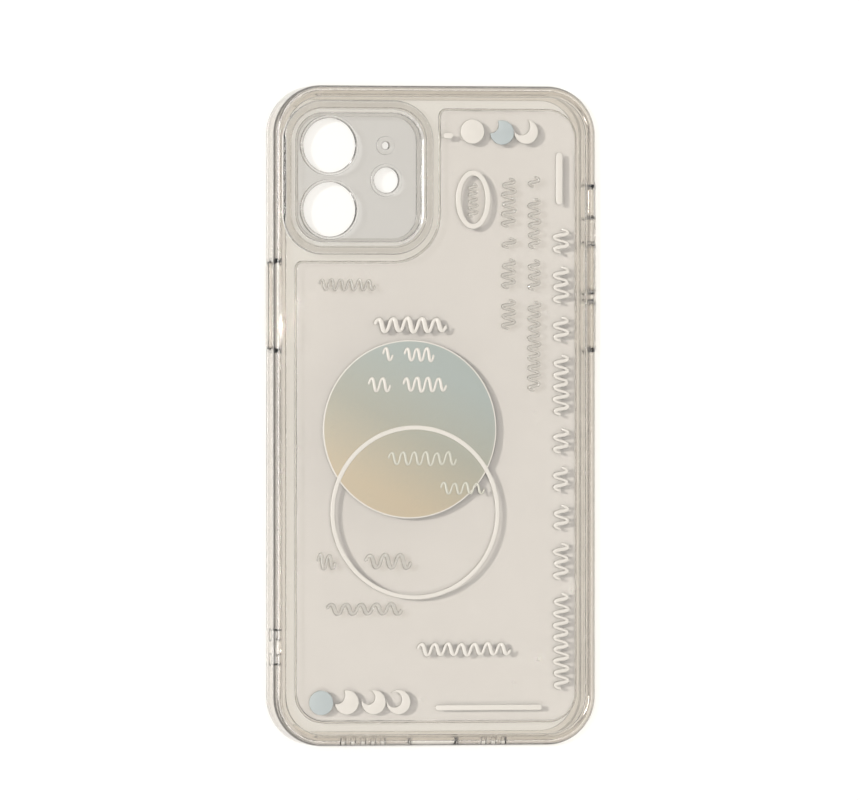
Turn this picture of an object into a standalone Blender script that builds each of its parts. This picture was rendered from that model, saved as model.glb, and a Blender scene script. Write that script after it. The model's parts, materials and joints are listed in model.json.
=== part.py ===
"""A clear phone case with a raised camera guard and a relief art panel on its back.

The case lies on its front lip with the back up: +Z points out of the back, +Y to the top of the handset
and +X to the volume keys. The origin is under the middle of the case, on the plane of the lip.
Sizes are in millimetres and are turned to metres as each mesh is made.
"""

import math

import bmesh
import bpy

MM = 0.001

# The handset that the case is made for, and how the case fits round it.
HANDSET_WIDTH = 71.5
HANDSET_LENGTH = 146.7
HANDSET_DEPTH = 7.4
HANDSET_CORNER = 9.2
FIT = 0.1
SEAM = 0.05

# The shell.
WALL = 1.9
BACK = 1.5
LIP_HEIGHT = 1.0
LIP_REACH = 1.25
LIP_ROUND = 0.35
BACK_EDGE_ROUND = 1.8
LIP_EDGE_ROUND = 1.2
PLATE_MARGIN = 2.6
FLANGE_MARGIN = 1.3
FLANGE_RISE = 0.15
FLANGE_DEPTH = 0.65

# The camera guard and the plate inside it. The guard is placed from the handset's left side and top edge,
# and the lenses from the plate's edges.
GUARD_PAST_SIDE = 0.25
GUARD_FROM_TOP = 1.45
GUARD_SIZE = 35.2
GUARD_CORNER = 9.3
GUARD_HEIGHT = 1.4
GUARD_BAND = 2.95
RIDGE_BAND = 1.6
RIDGE_STEP = 0.35
SPIGOT_MARGIN = 2.0
LEDGE_REACH = 0.75
CAMERA_PLATE_RAISE = 0.5
CAMERA_PLATE_THICKNESS = 0.8
LENS_HOLE = 6.2
LENS_RIM = 0.7
LENS_SIDE_GAP = 0.9
LENS_END_GAP = 0.4
LENS_RIM_HEIGHT = 0.5
FLASH_X = 6.5
FLASH_Y = -0.6
FLASH_HOLE = 2.9
FLASH_RIM = 0.85
FLASH_RIM_HEIGHT = 0.35
MIC_X = 6.3
MIC_Y = 7.3
MIC_HOLE = 0.85
MIC_MOUTH = 2.35
MIC_MOUTH_DEPTH = 0.3

# Key covers, measured down from the handset's top edge, and their pockets in the side walls.
KEY_HEIGHT = 3.4
KEY_PROUD = 0.7
KEY_ROUND = 0.45
KEY_GAP = 0.25
KEY_FLANGE = 0.7
KEY_FLANGE_DEPTH = 0.5
KEY_SKIN = 0.8
POWER_KEY_DROP = 48.25
POWER_KEY_LENGTH = 20.0
VOLUME_UP_DROP = 39.55
VOLUME_DOWN_DROP = 52.75
VOLUME_KEY_LENGTH = 10.6
SWITCH_DROP = 24.45
SWITCH_LENGTH = 8.0
SWITCH_HEIGHT = 4.8
PAD_PROUD = 0.45
PAD_HEIGHT = 6.4
PAD_CORNER = 2.4
PAD_MARGIN = 1.3
PAD_CHAMFER = 0.25

# Openings in the bottom wall, and the lanyard holes in the left wall.
PORT_WIDTH = 11.9
PORT_HEIGHT = 5.4
SLOT_WIDTH = 1.35
SLOT_HEIGHT = 3.2
SLOT_PITCH = 2.33
SPEAKER_X = -16.45
SPEAKER_SLOTS = 5
MICROPHONE_X = 14.2
MICROPHONE_SLOTS = 3
LANYARD_RISE = 20.55
LANYARD_PITCH = 5.6
LANYARD_HOLE = 2.4
LANYARD_CHANNEL = 1.0

# The art panel: an L-shaped film whose notch runs round the camera guard.
PANEL_MARGIN_X = 5.05
PANEL_MARGIN_Y = 5.6
PANEL_CORNER = 6.5
PANEL_SMALL_CORNER = 1.4
PANEL_GUARD_GAP = 1.85
PANEL_RECESS = 0.4
PANEL_PROUD = 0.15
PANEL_CHAMFER = 0.1
DISC_POCKET = 0.2
INK_HEIGHT = 0.2

# The sizes that the artwork is drawn for. It is scaled to the panel's arm beside the camera guard and to
# the field below it, so it keeps inside both.
DRAWN_ARM_WIDTH = 31.75
DRAWN_FIELD_WIDTH = 65.4
DRAWN_FIELD_LENGTH = 104.7
MOON_RADIUS = 2.8
DISC_RADIUS = 20.4
RING_RADIUS = 19.9
RING_STROKE = 1.2
RING_CLEARANCE = 0.6
STROKE = 0.7
WAVE_PITCH = 3.3

CORNER_STEPS = 10

# What follows from those sizes.
HALF_X = HANDSET_WIDTH / 2 + FIT + WALL
HALF_Y = HANDSET_LENGTH / 2 + FIT + WALL
CORNER = HANDSET_CORNER + FIT + WALL
INNER_BACK_Z = LIP_HEIGHT + HANDSET_DEPTH + FIT
BACK_Z = INNER_BACK_Z + BACK
FLANGE_LOW_Z = INNER_BACK_Z + FLANGE_RISE
FLANGE_HIGH_Z = FLANGE_LOW_Z + FLANGE_DEPTH
KEY_Z = LIP_HEIGHT + (HANDSET_DEPTH + FIT) / 2
CAMERA_X = -HANDSET_WIDTH / 2 - GUARD_PAST_SIDE + GUARD_SIZE / 2
CAMERA_Y = HANDSET_LENGTH / 2 - GUARD_FROM_TOP - GUARD_SIZE / 2
CAMERA_PLATE_HALF = GUARD_SIZE / 2 - GUARD_BAND - SEAM
LENS_X = -(CAMERA_PLATE_HALF - LENS_SIDE_GAP - LENS_RIM - LENS_HOLE)
LENS_SPREAD = CAMERA_PLATE_HALF - LENS_END_GAP - LENS_RIM - LENS_HOLE
PANEL_LEFT = -HALF_X + PANEL_MARGIN_X
PANEL_RIGHT = HALF_X - PANEL_MARGIN_X
PANEL_TOP = HALF_Y - PANEL_MARGIN_Y
PANEL_BOTTOM = -PANEL_TOP
NOTCH_X = CAMERA_X + GUARD_SIZE / 2 + PANEL_GUARD_GAP
NOTCH_Y = CAMERA_Y - GUARD_SIZE / 2 - PANEL_GUARD_GAP
PANEL_Z = BACK_Z + PANEL_PROUD
INK_Z = PANEL_Z + SEAM
ARM_SCALE = (PANEL_RIGHT - NOTCH_X) / DRAWN_ARM_WIDTH
FIELD_SCALE_X = (PANEL_RIGHT - PANEL_LEFT) / DRAWN_FIELD_WIDTH
FIELD_SCALE_Y = (NOTCH_Y - PANEL_BOTTOM) / DRAWN_FIELD_LENGTH
FIELD_SCALE = min(FIELD_SCALE_X, FIELD_SCALE_Y)


def linear(colour):
    """A linear RGBA colour from an sRGB hex string."""
    values = [int(colour[i : i + 2], 16) / 255 for i in (0, 2, 4)]
    return [v / 12.92 if v <= 0.04045 else ((v + 0.055) / 1.055) ** 2.4 for v in values] + [1.0]


def material(name, colour, roughness, transmission=0.0):
    made = bpy.data.materials.new(name)
    made.use_nodes = True
    shader = made.node_tree.nodes["Principled BSDF"]
    shader.inputs["Base Color"].default_value = linear(colour)
    shader.inputs["Roughness"].default_value = roughness
    shader.inputs["Metallic"].default_value = 0.0
    shader.inputs["Transmission Weight"].default_value = transmission
    return made


# ---------------------------------------------------------------- outlines


def arc(x, y, radius, start, end, steps):
    """Points along a circle from one angle to another, in degrees, both ends included."""
    angles = [math.radians(start + (end - start) * i / steps) for i in range(steps + 1)]
    return [(x + radius * math.cos(a), y + radius * math.sin(a)) for a in angles]


def ellipse(x, y, half_x, half_y, steps):
    angles = [2 * math.pi * i / steps for i in range(steps)]
    return [(x + half_x * math.cos(a), y + half_y * math.sin(a)) for a in angles]


def circle(x, y, radius, steps):
    return ellipse(x, y, radius, radius, steps)


def rounded_box(half_x, half_y, radius, x=0.0, y=0.0, steps=CORNER_STEPS):
    """A rectangle with round corners, anticlockwise from the lower right."""
    points = []
    for turn, (sx, sy) in enumerate(((1, -1), (1, 1), (-1, 1), (-1, -1))):
        cx = x + sx * (half_x - radius)
        cy = y + sy * (half_y - radius)
        points += arc(cx, cy, radius, 90 * turn - 90, 90 * turn, steps)
    return points


def stadium(length, height, x=0.0, y=0.0, steps=8):
    """A bar along X with round ends."""
    reach = (length - height) / 2
    right = arc(x + reach, y, height / 2, -90, 90, steps)
    left = arc(x - reach, y, height / 2, 90, 270, steps)
    return right + left


def filleted(corners, steps):
    """A closed outline from (x, y, radius) corners, each rounded by its own radius."""
    points = []
    for i, (x, y, radius) in enumerate(corners):
        before = corners[i - 1]
        after = corners[(i + 1) % len(corners)]
        to_before = math.atan2(before[1] - y, before[0] - x)
        to_after = math.atan2(after[1] - y, after[0] - x)
        half = (to_after - to_before) / 2
        half = math.atan2(math.sin(half * 2), math.cos(half * 2)) / 2
        middle = to_before + half
        reach = radius / abs(math.sin(half))
        cx = x + reach * math.cos(middle)
        cy = y + reach * math.sin(middle)
        turn = math.copysign(90 - abs(math.degrees(half)), half)
        facing = math.degrees(middle) + 180
        points += arc(cx, cy, radius, facing + turn, facing - turn, steps)
    return points


def moon(x, y, radius, bite=None, steps=28):
    """A disc, or a disc with a round bite. The bite's dx, dy and radius are given in moon radii."""
    if bite is None:
        return circle(x, y, radius, steps)
    dx, dy, bite_radius = [value * radius for value in bite]
    distance = math.hypot(dx, dy)
    facing = math.degrees(math.atan2(dy, dx))
    across = (radius**2 - bite_radius**2 + distance**2) / (2 * distance)
    outer = math.degrees(math.acos(across / radius))
    inner = math.degrees(math.acos((across - distance) / bite_radius))
    lit = arc(x, y, radius, facing + outer, facing + 360 - outer, steps)
    dark = arc(x + dx, y + dy, bite_radius, facing - inner, facing - 360 + inner, steps // 2)
    return lit + dark[1:-1]


def wave(x, y, length, height, upright=False):
    """The outline of one even wavy stroke, which stands in for a line of handwriting."""
    count = max(1, int(length / WAVE_PITCH)) * 4
    rise = (height - STROKE) / 2
    path = []
    for i in range(count + 1):
        side = 1 if (i // 2) % 2 == 0 else -1
        path.append(((i / count - 0.5) * (length - STROKE), side * rise))
    left = []
    right = []
    for i, (px, py) in enumerate(path):
        ax, ay = path[max(i - 1, 0)]
        bx, by = path[min(i + 1, count)]
        run = math.hypot(bx - ax, by - ay)
        nx = -(by - ay) / run * STROKE / 2
        ny = (bx - ax) / run * STROKE / 2
        left.append((px + nx, py + ny))
        right.append((px - nx, py - ny))
    points = right + left[::-1]
    if upright:
        points = [(py, -px) for px, py in points]
    return [(px + x, py + y) for px, py in points]


# ---------------------------------------------------------------- solids


def finish(name, mesh, surface):
    """A named object for a finished bmesh, with its faces pointing out and its round parts smooth."""
    bmesh.ops.recalc_face_normals(mesh, faces=mesh.faces)
    data = bpy.data.meshes.new(name)
    mesh.to_mesh(data)
    mesh.free()
    data.shade_smooth()
    data.set_sharp_from_angle(angle=math.radians(35))
    made = bpy.data.objects.new(name, data)
    bpy.context.collection.objects.link(made)
    if surface:
        data.materials.append(surface)
    return made


def add_loops(mesh, loops, closed):
    """Skins a list of equal point loops. A closed skin joins the last to the first, an open one is capped."""
    rows = [[mesh.verts.new([c * MM for c in point]) for point in loop] for loop in loops]
    count = len(rows[0])
    pairs = list(zip(rows, rows[1:]))
    if closed:
        pairs.append((rows[-1], rows[0]))
    for lower, upper in pairs:
        for i in range(count):
            j = (i + 1) % count
            mesh.faces.new((lower[i], lower[j], upper[j], upper[i]))
    if not closed:
        mesh.faces.new(rows[0])
        mesh.faces.new(rows[-1])


def at_height(outline, z):
    return [(x, y, z) for x, y in outline]


def slab(name, layers, surface=None):
    """A solid from (outline, z) layers of equal point counts, capped at both ends."""
    mesh = bmesh.new()
    add_loops(mesh, [at_height(outline, z) for outline, z in layers], False)
    return finish(name, mesh, surface)


def prisms(name, outlines, low, high):
    """One cutter made of separate upright prisms."""
    mesh = bmesh.new()
    for outline in outlines:
        add_loops(mesh, [at_height(outline, low), at_height(outline, high)], False)
    return finish(name, mesh, None)


def swept_ring(name, half_x, half_y, corner, profile, surface, x=0.0, y=0.0):
    """A closed ring: each (inset, z) point of the profile is carried round a rounded rectangle."""
    mesh = bmesh.new()
    loops = []
    for inset, z in profile:
        outline = rounded_box(half_x - inset, half_y - inset, corner - inset, x, y)
        loops.append(at_height(outline, z))
    add_loops(mesh, loops, True)
    return finish(name, mesh, surface)


def flat_ring(name, outer, inner, low, high, surface):
    mesh = bmesh.new()
    loops = [at_height(outer, low), at_height(outer, high), at_height(inner, high), at_height(inner, low)]
    add_loops(mesh, loops, True)
    return finish(name, mesh, surface)


def side_prisms(name, outlines, low, high, axis):
    """One cutter made of prisms that run along X or Y. Outlines are in (along the wall, z)."""
    mesh = bmesh.new()
    for outline in outlines:
        loops = []
        for depth in (low, high):
            if axis == "X":
                loops.append([(depth, along, z) for along, z in outline])
            else:
                loops.append([(along, depth, z) for along, z in outline])
        add_loops(mesh, loops, False)
    return finish(name, mesh, None)


def boolean(target, tool, operation):
    """Joins a tool to a solid or cuts it away. The tool stays in the file as a guide."""
    tool.display_type = "WIRE"
    tool.hide_render = True
    step = target.modifiers.new(tool.name, "BOOLEAN")
    step.operation = operation
    step.solver = "EXACT"
    step.object = tool


# ---------------------------------------------------------------- the pieces


def make_bumper(surface):
    """The soft ring: side walls, front lip, and a rebate that holds the back plate's flange."""
    lip_in = WALL + LIP_REACH
    profile = []
    profile += arc(BACK_EDGE_ROUND, BACK_Z - BACK_EDGE_ROUND, BACK_EDGE_ROUND, 90, 180, 6)
    profile += arc(LIP_EDGE_ROUND, LIP_EDGE_ROUND, LIP_EDGE_ROUND, 180, 270, 5)
    profile += arc(lip_in - LIP_ROUND, LIP_ROUND, LIP_ROUND, 270, 360, 3)
    profile.append((lip_in, LIP_HEIGHT))
    profile.append((WALL, LIP_HEIGHT))
    profile.append((WALL, FLANGE_LOW_Z - SEAM))
    profile.append((FLANGE_MARGIN - SEAM, FLANGE_LOW_Z - SEAM))
    profile.append((FLANGE_MARGIN - SEAM, FLANGE_HIGH_Z + SEAM))
    profile.append((PLATE_MARGIN - SEAM, FLANGE_HIGH_Z + SEAM))
    profile.append((PLATE_MARGIN - SEAM, BACK_Z))
    bumper = swept_ring("bumper_frame", HALF_X, HALF_Y, CORNER, profile, surface)

    # The raised pad that holds the switch opening and the volume keys.
    top = SWITCH_Y + SWITCH_LENGTH / 2 + PAD_MARGIN
    bottom = VOLUME_DOWN_Y - VOLUME_KEY_LENGTH / 2 - PAD_MARGIN
    loops = []
    for inset, proud in ((0.0, -WALL / 2), (0.0, PAD_PROUD - PAD_CHAMFER), (PAD_CHAMFER, PAD_PROUD)):
        reach = (top - bottom) / 2 - inset
        outline = rounded_box(reach, PAD_HEIGHT / 2 - inset, PAD_CORNER - inset, (top + bottom) / 2, KEY_Z, 5)
        loops.append([(HALF_X + proud, along, z) for along, z in outline])
    mesh = bmesh.new()
    add_loops(mesh, loops, False)
    boolean(bumper, finish("volume_key_pad", mesh, None), "UNION")

    # Key windows through the wall, then the pockets behind them for the covers' flanges.
    through = WALL + KEY_PROUD
    for side, keys in KEYS_BY_SIDE.items():
        windows = [stadium(length + 2 * KEY_GAP, KEY_HEIGHT + 2 * KEY_GAP, y, KEY_Z) for y, length in keys]
        reach = 2 * (KEY_FLANGE + KEY_GAP)
        pockets = [stadium(length + reach, KEY_HEIGHT + reach, y, KEY_Z) for y, length in keys]
        face = side * HALF_X
        cutter = side_prisms("key_windows_%+d" % side, windows, face - side * through, face + side, "X")
        boolean(bumper, cutter, "DIFFERENCE")
        inner = face - side * KEY_SKIN
        cutter = side_prisms("key_pockets_%+d" % side, pockets, face - side * through, inner, "X")
        boolean(bumper, cutter, "DIFFERENCE")

    switch = rounded_box(SWITCH_LENGTH / 2, SWITCH_HEIGHT / 2, 1.6, SWITCH_Y, KEY_Z, 5)
    cutter = side_prisms("switch_opening", [switch], HALF_X - through, HALF_X + 1, "X")
    boolean(bumper, cutter, "DIFFERENCE")

    holes = []
    for side in (-1, 1):
        y = LANYARD_Y + side * LANYARD_PITCH / 2
        holes.append(rounded_box(LANYARD_HOLE / 2, LANYARD_HOLE / 2, 0.6, y, KEY_Z, 3))
    cutter = side_prisms("lanyard_holes", holes, -HALF_X - 1, -HALF_X + through, "X")
    boolean(bumper, cutter, "DIFFERENCE")
    behind = LANYARD_PITCH + LANYARD_HOLE
    channel = rounded_box(behind / 2, LANYARD_HOLE / 2, 0.6, LANYARD_Y, KEY_Z, 3)
    inner = -HALF_X + WALL
    cutter = side_prisms("lanyard_channel", [channel], inner - LANYARD_CHANNEL, inner + 1, "X")
    boolean(bumper, cutter, "DIFFERENCE")

    openings = [rounded_box(PORT_WIDTH / 2, PORT_HEIGHT / 2, 2.4, 0.0, KEY_Z, 5)]
    for middle, count in ((SPEAKER_X, SPEAKER_SLOTS), (MICROPHONE_X, MICROPHONE_SLOTS)):
        for i in range(count):
            x = middle + (i - (count - 1) / 2) * SLOT_PITCH
            openings.append(rounded_box(SLOT_WIDTH / 2, SLOT_HEIGHT / 2, SLOT_WIDTH / 2 - 0.05, x, KEY_Z, 4))
    cutter = side_prisms("bottom_openings", openings, -HALF_Y - 1, -HALF_Y + through, "Y")
    boolean(bumper, cutter, "DIFFERENCE")


def panel_outline(grow):
    """The art panel's L-shaped outline, moved outwards by grow."""
    left = PANEL_LEFT - grow
    right = PANEL_RIGHT + grow
    top = PANEL_TOP + grow
    bottom = PANEL_BOTTOM - grow
    notch_x = NOTCH_X - grow
    notch_y = NOTCH_Y + grow
    big = PANEL_CORNER + grow
    small = PANEL_SMALL_CORNER + grow
    hollow = GUARD_CORNER + PANEL_GUARD_GAP - grow
    corners = [
        (left, bottom, big),
        (right, bottom, big),
        (right, top, big),
        (notch_x, top, small),
        (notch_x, notch_y, hollow),
        (left, notch_y, small),
    ]
    return filleted(corners, 8)


def make_back_plate(surface):
    """The hard back: a flange under the bumper's rim, the camera aperture and the panel's recess."""

    def outline(inset):
        return rounded_box(HALF_X - inset, HALF_Y - inset, CORNER - inset)

    layers = [
        (outline(WALL + SEAM), INNER_BACK_Z),
        (outline(WALL + SEAM), FLANGE_LOW_Z),
        (outline(FLANGE_MARGIN), FLANGE_LOW_Z),
        (outline(FLANGE_MARGIN), FLANGE_HIGH_Z),
        (outline(PLATE_MARGIN), FLANGE_HIGH_Z),
        (outline(PLATE_MARGIN), BACK_Z),
    ]
    plate = slab("back_plate", layers, surface)
    half = GUARD_SIZE / 2 - SPIGOT_MARGIN
    aperture = rounded_box(half, half, GUARD_CORNER - SPIGOT_MARGIN, CAMERA_X, CAMERA_Y)
    boolean(plate, prisms("camera_aperture", [aperture], INNER_BACK_Z - 1, BACK_Z + 1), "DIFFERENCE")
    recess = prisms("panel_recess", [panel_outline(SEAM)], BACK_Z - PANEL_RECESS, BACK_Z + 1)
    boolean(plate, recess, "DIFFERENCE")


def make_camera_guard(surface):
    """The raised frame: a double ridge above the back, and a spigot through it with a ledge inside."""
    foot = BACK_Z + SEAM
    top = BACK_Z + GUARD_HEIGHT
    round_off = 0.3
    ledge = BACK_Z + CAMERA_PLATE_RAISE - CAMERA_PLATE_THICKNESS - SEAM
    spigot = SPIGOT_MARGIN + SEAM
    step = RIDGE_BAND + RIDGE_STEP
    profile = [(0.0, foot)]
    profile += arc(round_off, top - round_off, round_off, 180, 90, 3)
    profile += [
        (RIDGE_BAND, top),
        (step, top - RIDGE_STEP),
        (GUARD_BAND - 0.15, top - RIDGE_STEP),
        (GUARD_BAND, top - RIDGE_STEP - 0.15),
        (GUARD_BAND, ledge),
        (GUARD_BAND + LEDGE_REACH, ledge),
        (GUARD_BAND + LEDGE_REACH, INNER_BACK_Z),
        (spigot, INNER_BACK_Z),
        (spigot, foot),
    ]
    half = GUARD_SIZE / 2
    swept_ring("camera_guard", half, half, GUARD_CORNER, profile, surface, CAMERA_X, CAMERA_Y)


def rim(x, y, radius, width, height, base):
    """The layers of a round rim with a softened top edge."""
    outer = radius + width
    soft = 0.2
    steps = 40
    return [
        (circle(x, y, outer, steps), base),
        (circle(x, y, outer, steps), base + height - soft),
        (circle(x, y, outer - soft, steps), base + height),
    ]


def make_camera_plate(surface):
    """The clear plate inside the guard, with a rimmed hole for each lens and the flash."""
    top = BACK_Z + CAMERA_PLATE_RAISE
    bottom = top - CAMERA_PLATE_THICKNESS
    half = CAMERA_PLATE_HALF
    outline = rounded_box(half, half, GUARD_CORNER - GUARD_BAND - SEAM, CAMERA_X, CAMERA_Y)
    plate = slab("camera_plate", [(outline, bottom), (outline, top)], surface)

    lenses = [(CAMERA_X + LENS_X, CAMERA_Y + side * LENS_SPREAD) for side in (-1, 1)]
    flash = (CAMERA_X + FLASH_X, CAMERA_Y + FLASH_Y)
    mic = (CAMERA_X + MIC_X, CAMERA_Y + MIC_Y)
    sunk = top - 0.3
    mesh = bmesh.new()
    for x, y in lenses:
        layers = rim(x, y, LENS_HOLE, LENS_RIM, LENS_RIM_HEIGHT + 0.3, sunk)
        add_loops(mesh, [at_height(points, z) for points, z in layers], False)
    layers = rim(*flash, FLASH_HOLE, FLASH_RIM, FLASH_RIM_HEIGHT + 0.3, sunk)
    add_loops(mesh, [at_height(points, z) for points, z in layers], False)
    boolean(plate, finish("lens_rims", mesh, None), "UNION")

    high = top + LENS_RIM_HEIGHT + 1
    holes = [circle(x, y, LENS_HOLE, 40) for x, y in lenses]
    holes.append(circle(*flash, FLASH_HOLE, 28))
    holes.append(circle(*mic, MIC_HOLE, 16))
    boolean(plate, prisms("lens_holes", holes, bottom - 1, high), "DIFFERENCE")
    mouth = prisms("mic_mouth", [circle(*mic, MIC_MOUTH, 28)], top - MIC_MOUTH_DEPTH, high)
    boolean(plate, mouth, "DIFFERENCE")


def make_art_panel(surface):
    """The printed film in the back's recess, a little proud, with a shallow pocket for the disc."""
    layers = [
        (panel_outline(0.0), BACK_Z - PANEL_RECESS + SEAM),
        (panel_outline(0.0), PANEL_Z - PANEL_CHAMFER),
        (panel_outline(-PANEL_CHAMFER), PANEL_Z),
    ]
    panel = slab("art_panel", layers, surface)
    pocket = circle(*field(*DISC_PLACE), DISC_RADIUS * FIELD_SCALE + SEAM, 64)
    boolean(panel, prisms("disc_pocket", [pocket], PANEL_Z - DISC_POCKET, PANEL_Z + 1), "DIFFERENCE")


def make_key(name, side, y, length, surface):
    """A key cover: a proud pad with soft edges, and the flange that keeps it in the wall."""
    front = HALF_X + KEY_PROUD
    flange_face = HALF_X - KEY_SKIN - SEAM
    soft = KEY_ROUND
    loops = []
    for angle in (0, 45, 90):
        depth = front - soft * (1 - math.cos(math.radians(angle)))
        inset = soft * (1 - math.sin(math.radians(angle)))
        outline = stadium(length - 2 * inset, KEY_HEIGHT - 2 * inset, y, KEY_Z)
        loops.append([(side * depth, along, z) for along, z in outline])
    outline = stadium(length, KEY_HEIGHT, y, KEY_Z)
    loops.append([(side * flange_face, along, z) for along, z in outline])
    outline = stadium(length + 2 * KEY_FLANGE, KEY_HEIGHT + 2 * KEY_FLANGE, y, KEY_Z)
    for depth in (flange_face, flange_face - KEY_FLANGE_DEPTH):
        loops.append([(side * depth, along, z) for along, z in outline])
    mesh = bmesh.new()
    add_loops(mesh, loops, False)
    finish(name, mesh, surface)


def arm(from_right, from_top):
    """A place in the panel's arm beside the camera guard."""
    return PANEL_RIGHT - from_right * ARM_SCALE, PANEL_TOP - from_top


def field(x, rise):
    """A place in the field below the camera guard: x from the middle, rise from the bottom edge."""
    return x * FIELD_SCALE_X, PANEL_BOTTOM + rise * FIELD_SCALE_Y


def by_disc(dx, dy):
    """A place given from the middle of the printed disc."""
    x, y = field(*DISC_PLACE)
    return x + dx * FIELD_SCALE, y + dy * FIELD_SCALE


def ink(name, outline, surface):
    slab(name, [(outline, INK_Z), (outline, INK_Z + INK_HEIGHT)], surface)


def ink_moons(row, place, scale, inks):
    """A row of moons from left to right. Each follows the last by a moon's width and its own gap."""
    x, y = place
    radius = MOON_RADIUS * scale
    for name, gap, lift, bite, colour in row:
        x += gap * scale
        ink(name, moon(x, y + lift, radius, bite), inks[colour])
        x += 2 * radius
    return x - radius


# Each moon: its name, the gap before it, its lift from the row's line, its bite and its ink.
ARM_MOONS = [
    ("top_moon_full", 0.0, 0.0, None, "white"),
    ("top_moon_gibbous", 1.4, -0.2, (-0.96, 0.62, 0.68), "blue"),
    ("top_moon_crescent", 0.1, 0.0, (-0.4, 0.45, 0.735), "white"),
]
FIELD_MOONS = [
    ("bottom_moon_full", 0.0, 0.0, None, "blue"),
    ("bottom_moon_gibbous", 0.4, 0.1, (-0.86, 0.59, 0.735), "white"),
    ("bottom_moon_crescent_wide", 0.7, 0.1, (-0.44, 0.385, 0.57), "white"),
    ("bottom_moon_crescent_slim", 0.25, 0.1, (-0.34, 0.2, 0.63), "white"),
]
ARM_MOONS_PLACE = (24.3, 4.85)
FIELD_MOONS_PLACE = (-27.0, 4.3)
DISC_PLACE = (-6.2, 66.7)
RING_FROM_DISC = (1.2, -19.0)

# Level strokes: name, middle, length, height and ink. The first two lie in the field, and the others keep
# their places about the disc.
FIELD_STROKES = [
    ("stroke_below_camera", (-21.0, 99.6), 14.1, 3.4, "clear"),
    ("stroke_bottom", (6.4, 16.3), 22.8, 4.0, "white"),
]
DISC_STROKES = [
    ("stroke_above_disc", (0.0, 23.7), 17.8, 4.6, "white"),
    ("stroke_disc_upper", (-0.5, 17.0), 12.9, 4.2, "white"),
    ("stroke_disc_lower", (-0.7, 10.1), 19.2, 4.2, "white"),
    ("stroke_ring_upper", (2.8, -6.8), 16.9, 4.0, "pale"),
    ("stroke_left_lower", (-10.8, -41.1), 18.6, 3.6, "clear"),
]


def make_shapes(inks):
    """The disc, the ring, the two rows of moons and the plain bars."""
    disc = circle(*field(*DISC_PLACE), DISC_RADIUS * FIELD_SCALE, 64)
    slab("gradient_disc", [(disc, PANEL_Z - DISC_POCKET + SEAM), (disc, PANEL_Z)], inks["disc"])
    place = by_disc(*RING_FROM_DISC)
    outer = circle(*place, RING_RADIUS * FIELD_SCALE, 64)
    inner = circle(*place, (RING_RADIUS - RING_STROKE) * FIELD_SCALE, 64)
    flat_ring("thin_ring", outer, inner, INK_Z, INK_Z + INK_HEIGHT, inks["white"])

    ink_moons(ARM_MOONS, arm(*ARM_MOONS_PLACE), ARM_SCALE, inks)
    moons_end = ink_moons(FIELD_MOONS, field(*FIELD_MOONS_PLACE), FIELD_SCALE, inks)

    ink("top_dash", stadium(2.4 * ARM_SCALE, 1.3 * ARM_SCALE, *arm(30.0, 5.8)), inks["white"])
    bar = [(y, -x) for x, y in stadium(11.9, 1.5 * ARM_SCALE)]
    x, y = arm(3.8, 15.5)
    ink("side_bar", [(px + x, py + y) for px, py in bar], inks["white"])
    end, y = field(24.8, 3.05)
    start = moons_end + (MOON_RADIUS + 3.0) * FIELD_SCALE
    bar = stadium(end - start, 1.25 * FIELD_SCALE, (start + end) / 2, y)
    ink("bottom_bar", bar, inks["white"])


def make_strokes(inks):
    """The wavy strokes: one in an oval ring, three columns down the arm, and level ones in the field."""
    place = arm(24.15, 20.4)
    outer = ellipse(*place, 4.1 * ARM_SCALE, 6.7, 40)
    inner = ellipse(*place, 2.9 * ARM_SCALE, 5.5, 40)
    flat_ring("oval_ring", outer, inner, INK_Z, INK_Z + INK_HEIGHT, inks["white"])
    ink("stroke_in_oval", wave(*place, 8.6, 2.8 * ARM_SCALE, True), inks["clear"])
    for name, from_right, start, end, height, colour in (
        ("stroke_column_inner", 15.75, 14.9, 50.2, 4.2, "clear"),
        ("stroke_column_middle", 9.75, 14.5, 64.4, 3.8, "clear"),
        ("stroke_column_outer", 3.4, 26.4, PANEL_TOP - PANEL_BOTTOM - 6.9, 4.6, "white"),
    ):
        x, y = arm(from_right, (start + end) / 2)
        ink(name, wave(x, y, end - start, height * ARM_SCALE, True), inks[colour])
    for strokes, placed in ((FIELD_STROKES, field), (DISC_STROKES, by_disc)):
        for name, place, length, height, colour in strokes:
            outline = wave(*placed(*place), length * FIELD_SCALE, height * FIELD_SCALE)
            ink(name, outline, inks[colour])

    # Three strokes end at the ring: each stops short of it at the height where the ring comes nearest.
    ring_x, ring_y = by_disc(*RING_FROM_DISC)
    inside = (RING_RADIUS - RING_STROKE) * FIELD_SCALE
    outside = RING_RADIUS * FIELD_SCALE
    for name, open_end, dy, height, colour in (
        ("stroke_left_outer", -22.2, -30.3, 4.6, "clear"),
        ("stroke_left_inner", 0.6, -30.3, 4.6, "clear"),
        ("stroke_ring_lower", 6.6, -13.6, 3.6, "pale"),
    ):
        start, y = by_disc(open_end, dy)
        half = height / 2 * FIELD_SCALE
        low = math.sqrt(inside**2 - (abs(y - ring_y) + half) ** 2)
        high = math.sqrt(outside**2 - (abs(y - ring_y) - half) ** 2)
        end = {
            "stroke_left_outer": ring_x - high - RING_CLEARANCE,
            "stroke_left_inner": ring_x - low + RING_CLEARANCE,
            "stroke_ring_lower": ring_x + low - RING_CLEARANCE,
        }[name]
        ink(name, wave((start + end) / 2, y, abs(end - start), 2 * half), inks[colour])


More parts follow.
